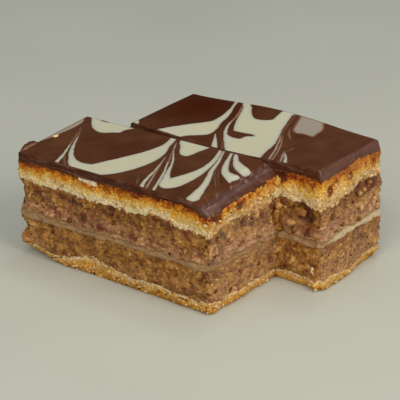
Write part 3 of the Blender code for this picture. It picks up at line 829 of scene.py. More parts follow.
# strokes are points of x, y and half-width, with how strongly they cover; blobs are outlines
marbling = {
    "front": {
        "strokes": [
            (1.0, [(-10.9, -0.3, 1.2), (-9.5, -4.5, 1.3), (-8.9, -8.5, 1.8), (-8.4, -13, 3.3),
                   (-9, -18.5, 4.7), (-11.3, -25, 5.7), (-15, -31.5, 5.7), (-19.5, -36, 4.3),
                   (-25, -36.6, 3.1), (-29.5, -34.8, 1.8), (-33.5, -31.5, 1.0), (-36.8, -27.6, 0.75),
                   (-39.6, -23.4, 0.5), (-41.8, -19.5, 0.3), (-43.4, -16.7, 0.05)]),
            (0.45, [(-40.8, -21.2, 0.35), (-43, -17.4, 0.35), (-45.3, -13.8, 0.3),
                    (-48.5, -9.6, 0.15)]),
            (1.0, [(-34.4, -38.8, 0.75), (-35.3, -36.6, 0.7), (-36.4, -33.6, 0.6), (-37.7, -30.4, 0.5),
                   (-39.3, -27.2, 0.4), (-40.6, -24.6, 0.25), (-41.6, -22.6, 0.05)]),
            (0.45, [(-40.2, -25.4, 0.3), (-42.2, -21.4, 0.35), (-44.2, -17.3, 0.35),
                    (-45.9, -14.2, 0.3)]),
            (0.35, [(-30, -38.3, 0.5), (-32.7, -36, 0.5), (-35.2, -33.2, 0.4), (-37.5, -30.5, 0.1)]),
            (0.5, [(-7.5, -3, 0.15), (-5.3, -7, 0.3), (-3, -11.5, 0.35), (-0.8, -15.5, 0.4),
                   (1.3, -19.3, 0.4)]),
            (0.9, [(0.5, -18, 0.25), (2.4, -21.5, 0.35), (4.2, -24.5, 0.4), (5.9, -28.2, 0.5),
                   (7.6, -32, 0.5), (9.4, -36.2, 0.55), (10.7, -39, 0.6)]),
            (1.0, [(5.6, -38.8, 0.75), (4, -36.3, 0.7), (2.7, -33, 0.6), (1.7, -29.3, 0.5),
                   (0.8, -25.6, 0.4), (-0.5, -22, 0.25), (-2, -17.5, 0.15), (-3.7, -13.5, 0.05)]),
            (0.7, [(-2.9, -16, 0.1), (-0.7, -20.5, 0.2), (1.5, -25.2, 0.25), (3, -29, 0.35),
                   (4.3, -32, 0.4), (5.6, -35, 0.4), (7.2, -38.5, 0.45)]),
            (0.3, [(-0.5, -33.2, 0.2), (0.5, -34.6, 0.5), (2, -37, 0.3)]),
            (1.0, [(10.6, -0.3, 0.6), (12, -3.3, 0.7), (13.2, -6.5, 0.85), (14.3, -9.8, 0.95),
                   (14.9, -13.2, 1.2), (15.2, -17.3, 1.6), (14.8, -21.5, 2.4), (14, -25.5, 3.1),
                   (12.7, -29.8, 3.7), (11.6, -32, 2.9), (10, -30.8, 2.1), (8.6, -28.8, 1.5),
                   (7.1, -26.8, 1.05), (5.8, -24.5, 0.8), (4.3, -21.6, 0.6), (2.8, -18.7, 0.45),
                   (0.8, -15.5, 0.35), (-1.5, -12.4, 0.25), (-4.2, -8.8, 0.15), (-7.5, -3.5, 0.05)]),
            (1.0, [(12.2, -0.3, 0.3), (13.8, -4, 0.4), (15.1, -6.9, 0.5), (16.3, -9.8, 0.6),
                   (17.4, -13, 0.7), (18.8, -16.8, 0.85), (20.7, -20.6, 1.0), (22.6, -24.8, 1.2),
                   (24, -29, 1.45), (25.1, -33, 1.9), (25.8, -35.9, 2.2)]),
            (0.3, [(18.5, -13.5, 0.2), (21.3, -18.2, 0.35), (23.4, -20.7, 0.35), (25.5, -23.2, 0.3),
                   (28, -26, 0.1)]),
            (0.22, [(20, -13.5, 0.2), (22.2, -17.3, 0.35), (25.5, -21.5, 0.3), (28.5, -24.5, 0.1)]),
            (1.0, [(15.7, -0.5, 0.5), (17.2, -4, 0.65), (18.6, -7, 0.85), (20.1, -9.9, 1.0),
                   (21.8, -12.7, 1.2), (23.8, -14.9, 1.5), (26, -16, 2.0), (28.6, -16.9, 2.7)]),
            (1.0, [(17.2, 0, 0.5), (18.8, -2.4, 0.75), (20.7, -4.9, 1.0), (22.7, -6.9, 1.4),
                   (24.8, -8.5, 1.9), (27, -9.7, 2.2), (30, -10.6, 2.5)]),
            (0.75, [(-52.6, -3.5, 0.3), (-52, -6.5, 1.2), (-51.9, -10, 1.5), (-52, -14, 1.4),
                    (-52.2, -18, 1.1), (-52.5, -22, 0.9), (-53, -26, 0.5)]),
        ],
        "blobs": [
            (1.0, [(-50.6, -0.2), (-47.7, -4.4), (-43.5, -8.4), (-39.3, -10), (-37.6, -10), (-34.3, -8),
                   (-31.8, -6.5), (-31.5, -4), (-29.4, -0.5), (-29.5, 1.5), (-45, 2.5)]),
            (1.0, [(-7.2, -0.5), (-4.1, -5.3), (-0.8, -9.8), (1, -10.9), (2.5, -11), (3.7, -9.9),
                   (4.4, -7), (5.2, -3.4), (6, 0.4), (0.0, 2.0)]),
        ],
        "notches": [
            [(-47, 0.6), (-46, -0.9), (-44, -1.5), (-42, -1.1), (-41, 0.6)],
        ],
        "end": (30.6, 0.08),     # the knife dragged dark chocolate over the pattern past this line
    },
    "rear": {
        "strokes": [
            (1.0, [(-33.5, 5, 0.6), (-32, 3.6, 0.8), (-30.4, 1.5, 0.9), (-29, -0.5, 0.8)]),
            (0.3, [(-8, 39, 0.2), (-6.6, 36.5, 0.3), (-5.3, 34, 0.4)]),
            (0.6, [(-5.8, 35, 0.2), (-4.4, 32, 0.35), (-2.9, 28.5, 0.4), (-1.7, 25, 0.4),
                   (-0.8, 21.2, 0.4)]),
            (1.0, [(-1, 21.8, 0.1), (-0.4, 19.5, 0.35), (0.5, 17, 0.5), (1.8, 14.4, 0.6),
                   (3.4, 12, 0.7)]),
            (1.0, [(0.4, 9.8, 0.1), (1.6, 8, 0.35), (3, 6.2, 0.6), (4.6, 3.9, 0.85), (6, 1.8, 1.1),
                   (7.2, 0, 1.2)]),
            (0.3, [(6, 7, 0.1), (8, 4, 0.4), (10.2, 1, 0.4)]),
            (0.3, [(17, 37.5, 0.3), (18.6, 32, 0.4), (20.2, 26.2, 0.4), (22, 21, 0.3)]),
            (0.4, [(22.2, 26.3, 0.2), (23.8, 23.3, 0.45), (25.2, 21.5, 0.5), (27.6, 19, 0.15)]),
            (0.78, [(21.6, 20.8, 0.1), (23.4, 18.2, 0.3), (24.8, 15.6, 0.35), (26, 12.8, 0.35),
                    (27.3, 10.2, 0.4), (28.4, 7.4, 0.4), (29.4, 4.4, 0.4), (31, 0.3, 0.4)]),
            (0.68, [(22.6, 21.2, 0.1), (24.7, 17.5, 0.25), (26.8, 14.1, 0.3), (28.1, 11.2, 0.35),
                    (29.3, 8.6, 0.35), (30.4, 5.7, 0.3), (32, 1, 0.3)]),
            (0.75, [(31.4, 9.6, 0.1), (32.6, 7.1, 0.4), (33.9, 4.5, 0.45), (35.8, 0.5, 0.45)]),
            (0.85, [(32.4, 8.4, 0.1), (34.5, 5.8, 0.4), (36, 3.6, 0.55), (38, 0.2, 0.75)]),
            (0.3, [(32.4, 14, 0.2), (32.7, 12, 0.6), (32.5, 9.8, 0.3)]),
        ],
        "blobs": [
            (1.0, [(-20.2, 0.1), (-18.2, 4.6), (-14, 10.8), (-9, 16.5), (-7.7, 18.2), (-7.3, 20.5),
                   (-7.6, 25), (-8.8, 30.8), (-10.5, 35.5), (-12.2, 39.5), (-10.5, 39.5), (-9, 34.8),
                   (-7.3, 31), (-4.8, 24.6), (-3.6, 18.8), (-1.7, 13.3), (-1.4, 9.2), (-2.8, 6.9),
                   (-6.9, 3.8), (-9.4, 0.4), (-10, -1), (-20, -1)]),
            (1.0, [(-7.5, 40), (-4.8, 34.2), (-1.9, 27.9), (0.6, 22.1), (3.9, 16.3), (5.6, 15.2),
                   (9.8, 15.5), (12.5, 15.9), (14.1, 15.1), (12.2, 13.9), (11.2, 12.6), (11, 11),
                   (9.7, 10.5), (6.2, 10.8), (3.3, 12.6), (1.2, 15.5), (1.9, 13.3), (3.7, 10.4),
                   (7.7, 5.4), (11.5, 0.8), (13, -1), (26, -1), (25.8, 6), (24.7, 12.9), (22.6, 18.3),
                   (20.1, 24.2), (18.2, 30), (16.3, 35.8), (14.8, 40)]),
            (0.72, [(18.5, 40), (20.1, 35.4), (22, 30), (23.6, 26.3), (26.2, 24.8), (27.8, 25.5),
                    (30.5, 25.6), (32.6, 25.7), (32.6, 29), (32.3, 32.5), (30.3, 36.3), (27, 40)]),
        ],
        "notches": [
            [(10.8, 40), (10.9, 36.7), (11.9, 31), (11.6, 29.4), (8.9, 27.7), (6.4, 27.4), (3.9, 28.4),
             (0.6, 32.1), (-1.1, 34.6), (-4.2, 40)],
        ],
        "end": (53.0, 0.0),
    },
}

glazeLook = {
    "step": 0.22,            # spacing of the points on its top
    "wallRows": 13,
    "edgeRadius": 0.8,       # the poured edge is soft
    "seamRadius": 0.2,
    "edgeDrop": 0.8,         # share of its radius that a rounded edge drops
    "edgeRound": 0.96,
    "edgeFade": 1.6,         # radii over which cream and veil fade towards an edge
    "wave": (16.0, 0.10),    # size and height of the slow waves in the top
    # the knife pulls the top down towards the dragged end, unevenly
    "slump": {"size": 4.0, "change": 0.55, "depth": 0.12, "reach": 1.8},
    "ripple": {"size": 2.0, "depth": 0.15},
    # the bloom, with its painted sheen, starts this far in from the dragged end, grows over a width, and is
    # thinner below
    "bloomAndSheenStart": 1.0, "bloomAndSheenWidth": 1.5, "bloomAndSheenBelow": 0.3,
    # how the cream's outline and the line of its end waver, by size and height
    "wobble": (2.3, 0.16),
    "tail": (3.0, 0.5),
    "noCream": -2.0,         # millimetres inside the cream where there is none
    "veilFade": 0.5, "blobFade": 1.4,        # widths over which a thin stroke and a thin blob fade
    "layer": {"floor": "glaze_bottom", "roof": "glaze_top", "bulge": 0.0, "crag": 0.15, "fade": 4.0},
}


def smoothPath(points, closed, spacing=0.5):
    # a smooth curve through the listed points, with any half-width carried along
    points = np.array(points, float)
    count = len(points)
    smooth = []
    for i in range(count if closed else count - 1):
        if closed:
            before, start, end, after = (points[(i + k) % count] for k in (-1, 0, 1, 2))
        else:
            before, start = points[max(i - 1, 0)], points[i]
            end, after = points[i + 1], points[min(i + 2, count - 1)]
        pieces = max(1, int(np.hypot(*(end - start)[:2]) / spacing))
        for t in np.arange(pieces) / pieces:
            smooth.append(0.5 * (2 * start + (end - before) * t
                                 + (2 * before - 5 * start + 4 * end - after) * t ** 2
                                 + (3 * start - before - 3 * end + after) * t ** 3))
    if not closed:
        smooth.append(points[-1])
    return np.array(smooth)


def distanceTo(path, x, y, closed):
    # distance from each point to a path, less the path's half-width there
    best = np.full(x.shape, 1e9)
    count = len(path)
    for i in range(count if closed else count - 1):
        start, end = path[i], path[(i + 1) % count]
        run = end[:2] - start[:2]
        along = np.clip(((x - start[0]) * run[0] + (y - start[1]) * run[1]) / max(run @ run, 1e-9), 0, 1)
        distance = np.hypot(x - start[0] - along * run[0], y - start[1] - along * run[1])
        if path.shape[1] > 2:
            distance = distance - (start[2] + (end[2] - start[2]) * along)
        best = np.minimum(best, distance)
    return best


def insideOf(path, x, y):
    inside = np.zeros(x.shape, bool)
    for (x1, y1), (x2, y2) in zip(path[:, :2], np.roll(path[:, :2], -1, 0)):
        if y1 != y2:
            crosses = (y1 > y) != (y2 > y)
            inside ^= crosses & (x < (x2 - x1) * (y - y1) / (y2 - y1) + x1)
    return inside


def fieldOf(path, x, y, closed, reach=2.0):
    # millimetres inside the shape, negative outside, worked out near the shape only
    field = np.full(x.shape, -reach)
    low, high = path[:, :2].min(0), path[:, :2].max(0)
    widest = path[:, 2].max() if path.shape[1] > 2 else 0.0
    margin = reach + widest
    near = (x > low[0] - margin) & (x < high[0] + margin) & (y > low[1] - margin) & (y < high[1] + margin)
    distance = distanceTo(path, x[near], y[near], closed)
    if closed:
        distance = np.where(insideOf(path, x[near], y[near]), -distance, distance)
    field[near] = np.clip(-distance, -reach, reach)
    return field


def marble(pattern, x, y):
    # how far each point lies inside the cream, and how strongly thin veils of cream cover it
    size, height = glazeLook["wobble"]
    wobble = height * noiseAt(x, y, np.zeros_like(x), size, 5.0)
    cream = np.full(x.shape, glazeLook["noCream"])
    veil = np.zeros(x.shape)
    drawn = [(strength, smoothPath(points, False), False) for strength, points in pattern["strokes"]]
    drawn += [(strength, smoothPath(points, True), True) for strength, points in pattern["blobs"]]
    for strength, path, closed in drawn:
        field = fieldOf(path, x, y, closed) + wobble * (1.0 if strength == 1.0 else 0.5)
        if strength == 1.0 or (strength >= 0.8 and not closed):
            cream = np.maximum(cream, field)
        else:
            fade = glazeLook["blobFade" if closed else "veilFade"]
            veil = np.maximum(veil, strength * np.clip(0.5 + field / fade, 0.0, 1.0))
    for points in pattern["notches"]:
        cream = np.minimum(cream, -fieldOf(smoothPath(points, True), x, y, True) - wobble)
    endX, endSlant = pattern["end"]
    size, height = glazeLook["tail"]
    tail = (endX + endSlant * y - x) + height * noiseAt(x, y, np.zeros_like(x), size, 9.0)
    return np.minimum(cream, tail), veil * np.clip(tail, 0.0, 1.0)


def makeGlazeMesh(barName):
    bar, layer = bars[barName], glazeLook["layer"]
    columns = round((bar["right"] - bar["left"]) / glazeLook["step"])
    ranks = round((bar["far"] - bar["near"]) / glazeLook["step"])
    steps = borderSteps(columns, ranks)
    ringCount = len(steps)
    rowCount = glazeLook["wallRows"]
    share = np.repeat(np.linspace(0.0, 1.0, rowCount)[:, None], ringCount, 1)
    u = np.repeat((steps[:, 0] / columns)[None, :], rowCount, 0)
    v = np.repeat((steps[:, 1] / ranks)[None, :], rowCount, 0)
    wallX, wallY, wallZ, *_ = cutFace(bar, layer, u, v, share)
    topRight = bar["right"] - bar["drag"]
    gridX, gridY = np.meshgrid(np.linspace(bar["left"], topRight, columns + 1),
                               np.linspace(bar["near"], bar["far"], ranks + 1), indexing="ij")
    topX, topY, *_ = roundedCorner(bar, gridX, gridY, topRight)
    # the top's outermost points follow the wall's own crags
    edgeX = np.zeros_like(topX)
    edgeY = np.zeros_like(topY)
    edgeX[steps[:, 0], steps[:, 1]] = wallX[-1] - topX[steps[:, 0], steps[:, 1]]
    edgeY[steps[:, 0], steps[:, 1]] = wallY[-1] - topY[steps[:, 0], steps[:, 1]]
    topX, topY = topX + edgeX, topY + edgeY
    topZ = barHeight(bar, "glaze_top", topX, topY, False)
    size, height = glazeLook["wave"]
    topZ = topZ + height * noiseAt(topX, topY, np.zeros_like(topX), size, 3.0)
    radius = glazeLook["edgeRadius"]
    # each side's own radius: soft where it was poured or dragged, sharp along the seam
    atSeam = (topX > bars["rear"]["left"]) & (topX < bars["front"]["right"])
    seamEdge = np.where(atSeam, glazeLook["seamRadius"], radius)
    nearRadius = radius if bar["seamSide"] > 0 else seamEdge
    farRadius = seamEdge if bar["seamSide"] > 0 else radius
    inset = np.full_like(topX, np.inf)
    slump, ripple = glazeLook["slump"], glazeLook["ripple"]
    sag = 1.0 + slump["change"] * noiseAt(topX * 0.0, topY, np.zeros_like(topX), slump["size"], 7.0)
    ridges = noiseAt(topX, topY, np.zeros_like(topX), ripple["size"], 4.0)
    pulled = np.exp(-np.maximum(topRight - topX, 0.0) / slump["reach"])
    topZ = topZ - bar["drag"] * (slump["depth"] * sag ** 2 + ripple["depth"] * ridges) * pulled
    for gap, sideRadius in ((topX - bar["left"], radius), (topRight - topX, bar["endRadius"] * sag),
                            (topY - bar["near"], nearRadius), (bar["far"] - topY, farRadius)):
        inward = np.clip(1.0 - gap / sideRadius, 0.0, 1.0)
        fallen = 1.0 - np.sqrt(1.0 - glazeLook["edgeRound"] * inward ** 2)
        topZ = topZ - glazeLook["edgeDrop"] * sideRadius * fallen
        inset = np.minimum(inset, gap)
    # the wall's top row joins the top's border
    wallShare = share[:-1]
    borderDrop = wallZ[-1] - topZ[steps[:, 0], steps[:, 1]]
    wallZ = wallZ[:-1] - borderDrop[None, :] * wallShare ** 4
    wall = np.stack([wallX[:-1], wallY[:-1], wallZ], -1).reshape(-1, 3)
    top = np.stack([topX, topY, topZ], -1).reshape(-1, 3)
    innerX = np.clip(wallX[0], bar["left"] + capInset, bar["right"] - capInset)
    innerY = np.clip(wallY[0], bar["near"] + capInset, bar["far"] - capInset)
    middleX = np.array([(bar["left"] + bar["right"]) / 2])
    middleY = np.array([(bar["near"] + bar["far"]) / 2])
    caps = [np.stack([capX, capY, barHeight(bar, "glaze_bottom", capX, capY, False) + capGap], -1)
            for capX, capY in ((innerX, innerY), (middleX, middleY))]
    points = np.concatenate([wall, top] + caps)
    points[:, 0] = np.clip(points[:, 0], -boxHalf["x"], boxHalf["x"])
    points[:, 1] = np.clip(points[:, 1], -boxHalf["y"], boxHalf["y"])
    wallCount = (rowCount - 1) * ringCount
    faces = gridFaces(0, rowCount - 1, ringCount).tolist()
    border = wallCount + steps[:, 0] * (ranks + 1) + steps[:, 1]
    lastRow = wallCount - ringCount + np.arange(ringCount)
    faces += np.stack([lastRow, np.roll(lastRow, -1), np.roll(border, -1), border], -1).tolist()
    i, j = np.meshgrid(np.arange(columns), np.arange(ranks), indexing="ij")
    corner = wallCount + i * (ranks + 1) + j
    square = [corner, corner + ranks + 1, corner + ranks + 2, corner + 1]
    faces += np.stack(square, -1).reshape(-1, 4).tolist()
    innerStart = wallCount + len(top)
    rim, fan = capFaces(0, innerStart, innerStart + ringCount, ringCount, False)
    mesh = bpy.data.meshes.new(f"{barName}_glaze_marbled")
    mesh.from_pydata((points * mm).tolist(), [], faces + rim + fan)
    cream, veil = marble(marbling[barName], topX.ravel(), topY.ravel())
    edge = np.clip(1.0 - inset.ravel() / (glazeLook["edgeFade"] * radius), 0.0, 1.0)
    hidden = len(points) - wallCount - len(top)
    # bloom lies on the ends that the knife dragged, its purple-grey painted partly as the sheen that those
    # ends catch from the key light
    past = points[:, 0] - topRight + glazeLook["bloomAndSheenStart"]
    endness = np.clip(past / glazeLook["bloomAndSheenWidth"], 0.0, 1.0)
    below = glazeLook["bloomAndSheenBelow"]
    endness[:wallCount] *= below + (1.0 - below) * wallShare.ravel()
    storeNumbers(mesh, "bloom", bar["bloom"] * endness)
    # painted shade: the glaze top is darker and less shiny where it catches less reflected light, most on
    # the rear bar's far left
    shadeX, shadeY, shadeRadius, deepestShade = bar["rich"]
    fromRich = ((points[:, 0] - shadeX) ** 2 + (points[:, 1] - shadeY) ** 2) / shadeRadius ** 2
    storeNumbers(mesh, "rich", deepestShade * np.exp(-fromRich))
    noCream = glazeLook["noCream"]
    cream = np.minimum(cream, noCream * (2.0 * edge - 1.0))
    cream = np.concatenate([np.full(wallCount, noCream), cream, np.full(hidden, noCream)])
    storeNumbers(mesh, "cream", cream)
    storeNumbers(mesh, "veil", np.concatenate([np.zeros(wallCount), veil * (1 - edge), np.zeros(hidden)]))
    storeNumbers(mesh, "side", np.concatenate([np.ones(wallCount), edge, np.zeros(hidden)]))
    return mesh


# Dark chocolate couverture, poured over the cake with lines of white chocolate feathered through
# it before it set: a satin brown with crisp cream swirls, and a dusty purple bloom where it was cut,
# painted partly as the sheen that the cut ends catch from the key light.
chocolateLook = {
    "fields": {
        "broad": {"size": 9.0},
        "mid": {"size": 2.2},
        "fine": {"size": 0.6, "detail": 2.0},
        "knifeMarks": {"size": 1.2, "stretch": (1.0, 0.12, 1.0)},
        "bladeDrag": {"size": 0.9, "stretch": (0.1, 0.1, 1.0)},
        "bladeMarks": (0.0, {"bladeDrag": 0.7, "mid": 0.3}),
        "dust": (0.4, {"mid": 0.4, "knifeMarks": 0.4}),
        "creamDepth": (1.0, [("cream", 0.2, 2.0)]),
        "milkTone": (-0.1, {"creamDepth": 0.8, "broad": 0.3}),
        "gloss": (0.34, {"fine": 0.12, "bloom": -0.20}),
        "sheen": (0.10, {"bloom": 0.90, "rich": -0.09}),
        "dragHeight": (1.0, ["knifeMarks", "bloom"]),
        "height": (0.0, {"fine": 0.15, "mid": 0.10, "dragHeight": 1.0}),
    },
    "colours": {
        "milk": [
            (1.0, [], ("milkTone", [(0.0, "#bcc0b4"), (0.5, "#c4c7b5"), (1.0, "#c9c8ac")])),
            (0.75, [("cream", 0.75, 0.0)], "#a8a296"),
        ],
    },
    # the poured top is clean, the long cut shows the blade's marks, and the dragged end has bloomed, with
    # painted sheen
    "coats": [
        (1.0, [], ("broad", [(0.0, "#4c2812"), (1.0, "#5e3820")])),
        # painted shade where the top catches less reflected light
        (1.0, ["rich"], "#421700"),
        (0.9, [("side", 0.3, 1.0)],
         ("bladeMarks", [(0.2, "#3e2010"), (0.55, "#553222"), (0.9, "#74564a")])),
        # bloom on the dragged ends, painted partly as the sheen they catch from the key light
        (1.0, ["bloom", "dust"], "#67423a"),
        (0.95, [("veil", 0.0, 0.3)],
         ("veil", [(0.3, "#6e4a38"), (0.6, "#9a7a66"), (0.72, "#a09990"), (1.0, "#b4b0a2")])),
        (1.0, [("cream", -0.16, 0.16)], "milk"),
    ],
    "surface": {"Roughness": "gloss", "IOR": 1.46, "Specular IOR Level": "sheen"},
    "bump": 0.5,
}

glazeFinish = makeFinish("featheredChocolateGlaze", chocolateLook)
for barName in bars:
    glaze = bpy.data.objects.new(f"{barName}_glaze_marbled", makeGlazeMesh(barName))
    bpy.context.scene.collection.objects.link(glaze)
    glaze.data.materials.append(glazeFinish)
    keepInside(glaze.data)
    glaze.data.shade_smooth()
    dress(glaze, f"{barName}_glaze")
    print(f"{barName} bar: glaze poured and feathered")

# ---- loose bits on the cut faces

# radii in millimetres, and bits for each square centimetre of cut face
bitKinds = {
    "walnut_bits": {
        "layers": ("lower_filling", "upper_filling"), "slot": "walnut_filling", "seed": 11,
        "smallest": 0.25, "largest": 0.95, "perSquareCm": 8.0, "low": 0.05, "high": 0.85,
    },
    "pastry_crumbs": {
        "layers": ("top_pastry", "base_pastry"), "slot": "top_pastry", "seed": 23,
        "smallest": 0.18, "largest": 0.60, "perSquareCm": 30.0, "low": 0.0, "high": 0.60,
    },
}


# what all loose bits share: skewed towards small ones, stretched and dented at random
scatterLook = {"skew": 2.2, "narrowest": 0.65, "widest": 1.2, "dentSize": 0.6, "dentDepth": 1.4}


def makeScatterTree():
    look = scatterLook
    tree = bpy.data.node_groups.new("scatteredBits", "GeometryNodeTree")
    tree.interface.new_socket("Geometry", in_out="INPUT", socket_type="NodeSocketGeometry")
    for name in ("smallest", "largest", "density", "low", "high"):
        tree.interface.new_socket(name, in_out="INPUT", socket_type="NodeSocketFloat")
    tree.interface.new_socket("seed", in_out="INPUT", socket_type="NodeSocketInt")
    tree.interface.new_socket("material", in_out="INPUT", socket_type="NodeSocketMaterial")
    tree.interface.new_socket("Geometry", in_out="OUTPUT", socket_type="NodeSocketGeometry")
    given = addNode(tree, "NodeGroupInput").outputs
    cut = addNode(tree, "GeometryNodeInputNamedAttribute", {"data_type": "FLOAT", "Name": "cut"})
    share = addNode(tree, "GeometryNodeInputNamedAttribute", {"data_type": "FLOAT", "Name": "share"})
    above = addNode(tree, "FunctionNodeCompare", {
        "data_type": "FLOAT", "operation": "GREATER_EQUAL", 0: share, 1: given["low"],
    })
    below = addNode(tree, "FunctionNodeCompare", {
        "data_type": "FLOAT", "operation": "LESS_EQUAL", 0: share, 1: given["high"],
    })
    onCut = addNode(tree, "FunctionNodeCompare", {
        "data_type": "FLOAT", "operation": "GREATER_THAN", 0: cut, 1: 0.99,
    })
    inZone = addNode(tree, "FunctionNodeBooleanMath", {"operation": "AND", 0: above, 1: below})
    chosen = addNode(tree, "FunctionNodeBooleanMath", {"operation": "AND", 0: inZone, 1: onCut})
    spots = addNode(tree, "GeometryNodeDistributePointsOnFaces", {
        "Mesh": given["Geometry"], "Selection": chosen, "Density": given["density"], "Seed": given["seed"],
    })
    ball = addNode(tree, "GeometryNodeMeshIcoSphere", {"Radius": 1.0, "Subdivisions": 2})
    turn = addNode(tree, "FunctionNodeRandomValue", {
        "data_type": "FLOAT_VECTOR", 1: (6.28, 6.28, 6.28), "Seed": given["seed"],
    })
    # most bits are small and a few are large
    draw = addNode(tree, "FunctionNodeRandomValue", {"data_type": "FLOAT", "Seed": given["seed"]})
    skewed = addNode(tree, "ShaderNodeMath", {"operation": "POWER", 0: draw.outputs[1], 1: look["skew"]})
    radius = addNode(tree, "ShaderNodeMapRange", {
        "Value": skewed, "To Min": given["smallest"], "To Max": given["largest"],
    })
    stretch = addNode(tree, "FunctionNodeRandomValue", {
        "data_type": "FLOAT_VECTOR", 0: (look["narrowest"],) * 3, 1: (look["widest"],) * 3,
        "Seed": given["seed"],
    })
    size = addNode(tree, "ShaderNodeVectorMath", {"operation": "SCALE", 0: stretch, "Scale": radius})
    bits = addNode(tree, "GeometryNodeInstanceOnPoints", {
        "Points": spots.outputs["Points"], "Instance": ball, "Rotation": turn, "Scale": size,
    })
    tone = addNode(tree, "FunctionNodeRandomValue", {"data_type": "FLOAT", "Seed": 5})
    toned = addNode(tree, "GeometryNodeStoreNamedAttribute", {
        "Name": "tint", "domain": "INSTANCE", "Geometry": bits, "Value": tone.outputs[1],
    })
    realised = addNode(tree, "GeometryNodeRealizeInstances", {"Geometry": toned})
    position = addNode(tree, "GeometryNodeInputPosition")
    dents = addNode(tree, "ShaderNodeTexNoise", {
        "Scale": 1 / (look["dentSize"] * mm), "Detail": 2.0, "Vector": position,
    })
    centred = addNode(tree, "ShaderNodeVectorMath", {
        "operation": "SUBTRACT", 0: dents.outputs[1], 1: (0.5, 0.5, 0.5),
    })
    dented = addNode(tree, "ShaderNodeVectorMath", {
        "operation": "SCALE", 0: centred, "Scale": look["dentDepth"] * mm,
    })
    shaped = addNode(tree, "GeometryNodeSetPosition", {"Geometry": realised, "Offset": dented})
    finished = addNode(tree, "GeometryNodeSetMaterial", {"Geometry": shaped, "Material": given["material"]})
    addNode(tree, "NodeGroupOutput", {"Geometry": finished})
    return tree


# Chopped walnut, torn from the filling by the knife: dark brown skins, tan flesh, a waxy shine.
walnutLook = {
    "fields": {
        "speck": {"size": 0.5, "detail": 2.0},
        "tone": (-0.15, {"tint": 1.0, "speck": 0.3}),
    },
    "coats": [
        (1.0, [], ("tone", [(0.0, "#5a2c0c"), (0.4, "#8a5822"), (0.75, "#a8763c"), (1.0, "#cca468")])),
    ],
    "surface": {"Roughness": 0.5, "IOR": 1.47, "Specular IOR Level": 0.4},
}

# Crumbs broken from the baked pastry: dry and matt, pale inside and gold where crust clings.
crumbLook = {
    "fields": {
        "speck": {"size": 0.4, "detail": 2.0},
        "tone": (-0.15, {"tint": 1.0, "speck": 0.3}),
    },
    "coats": [(1.0, [], ("tone", [(0.0, "#c4843a"), (0.35, "#e0b874"), (1.0, "#f0deb8")]))],
    "surface": {"Roughness": 0.9, "IOR": 1.45, "Specular IOR Level": 0.2},
}


def joinedCopy(name, sources):
    # one object with copies of several pieces' meshes
    copies = []
    for source in sources:
        copy = bpy.data.objects.new(name, source.data.copy())
        bpy.context.scene.collection.objects.link(copy)
        copies.append(copy)
    with bpy.context.temp_override(active_object=copies[0], selected_editable_objects=copies):
        bpy.ops.object.join()
    return copies[0]


scatterTree = makeScatterTree()
bitFinishes = {
    "walnut_bits": makeFinish("choppedWalnut", walnutLook),
    "pastry_crumbs": makeFinish("brokenPastryCrumb", crumbLook),
    "filling": fillingFinish,
    "pastry": topPastryFinish,
}
for kindName, kind in bitKinds.items():
    bits = joinedCopy(kindName, [piece for (_, layerName), piece in crumbPieces.items()
                                 if layerName in kind["layers"]])
    spread = bits.modifiers.new("scatter", "NODES")
    spread.node_group = scatterTree
    setInputs(spread, {
        "smallest": kind["smallest"] * mm, "largest": kind["largest"] * mm,
        "density": kind["perSquareCm"] * 1e4, "low": kind["low"], "high": kind["high"],
        "seed": kind["seed"], "material": bitFinishes[kindName],
    })
    applied(bits)
    keepInside(bits.data)
    bits.data.shade_smooth()
    dress(bits, None)
    print(f"{kindName}: {len(bits.data.polygons)} faces")

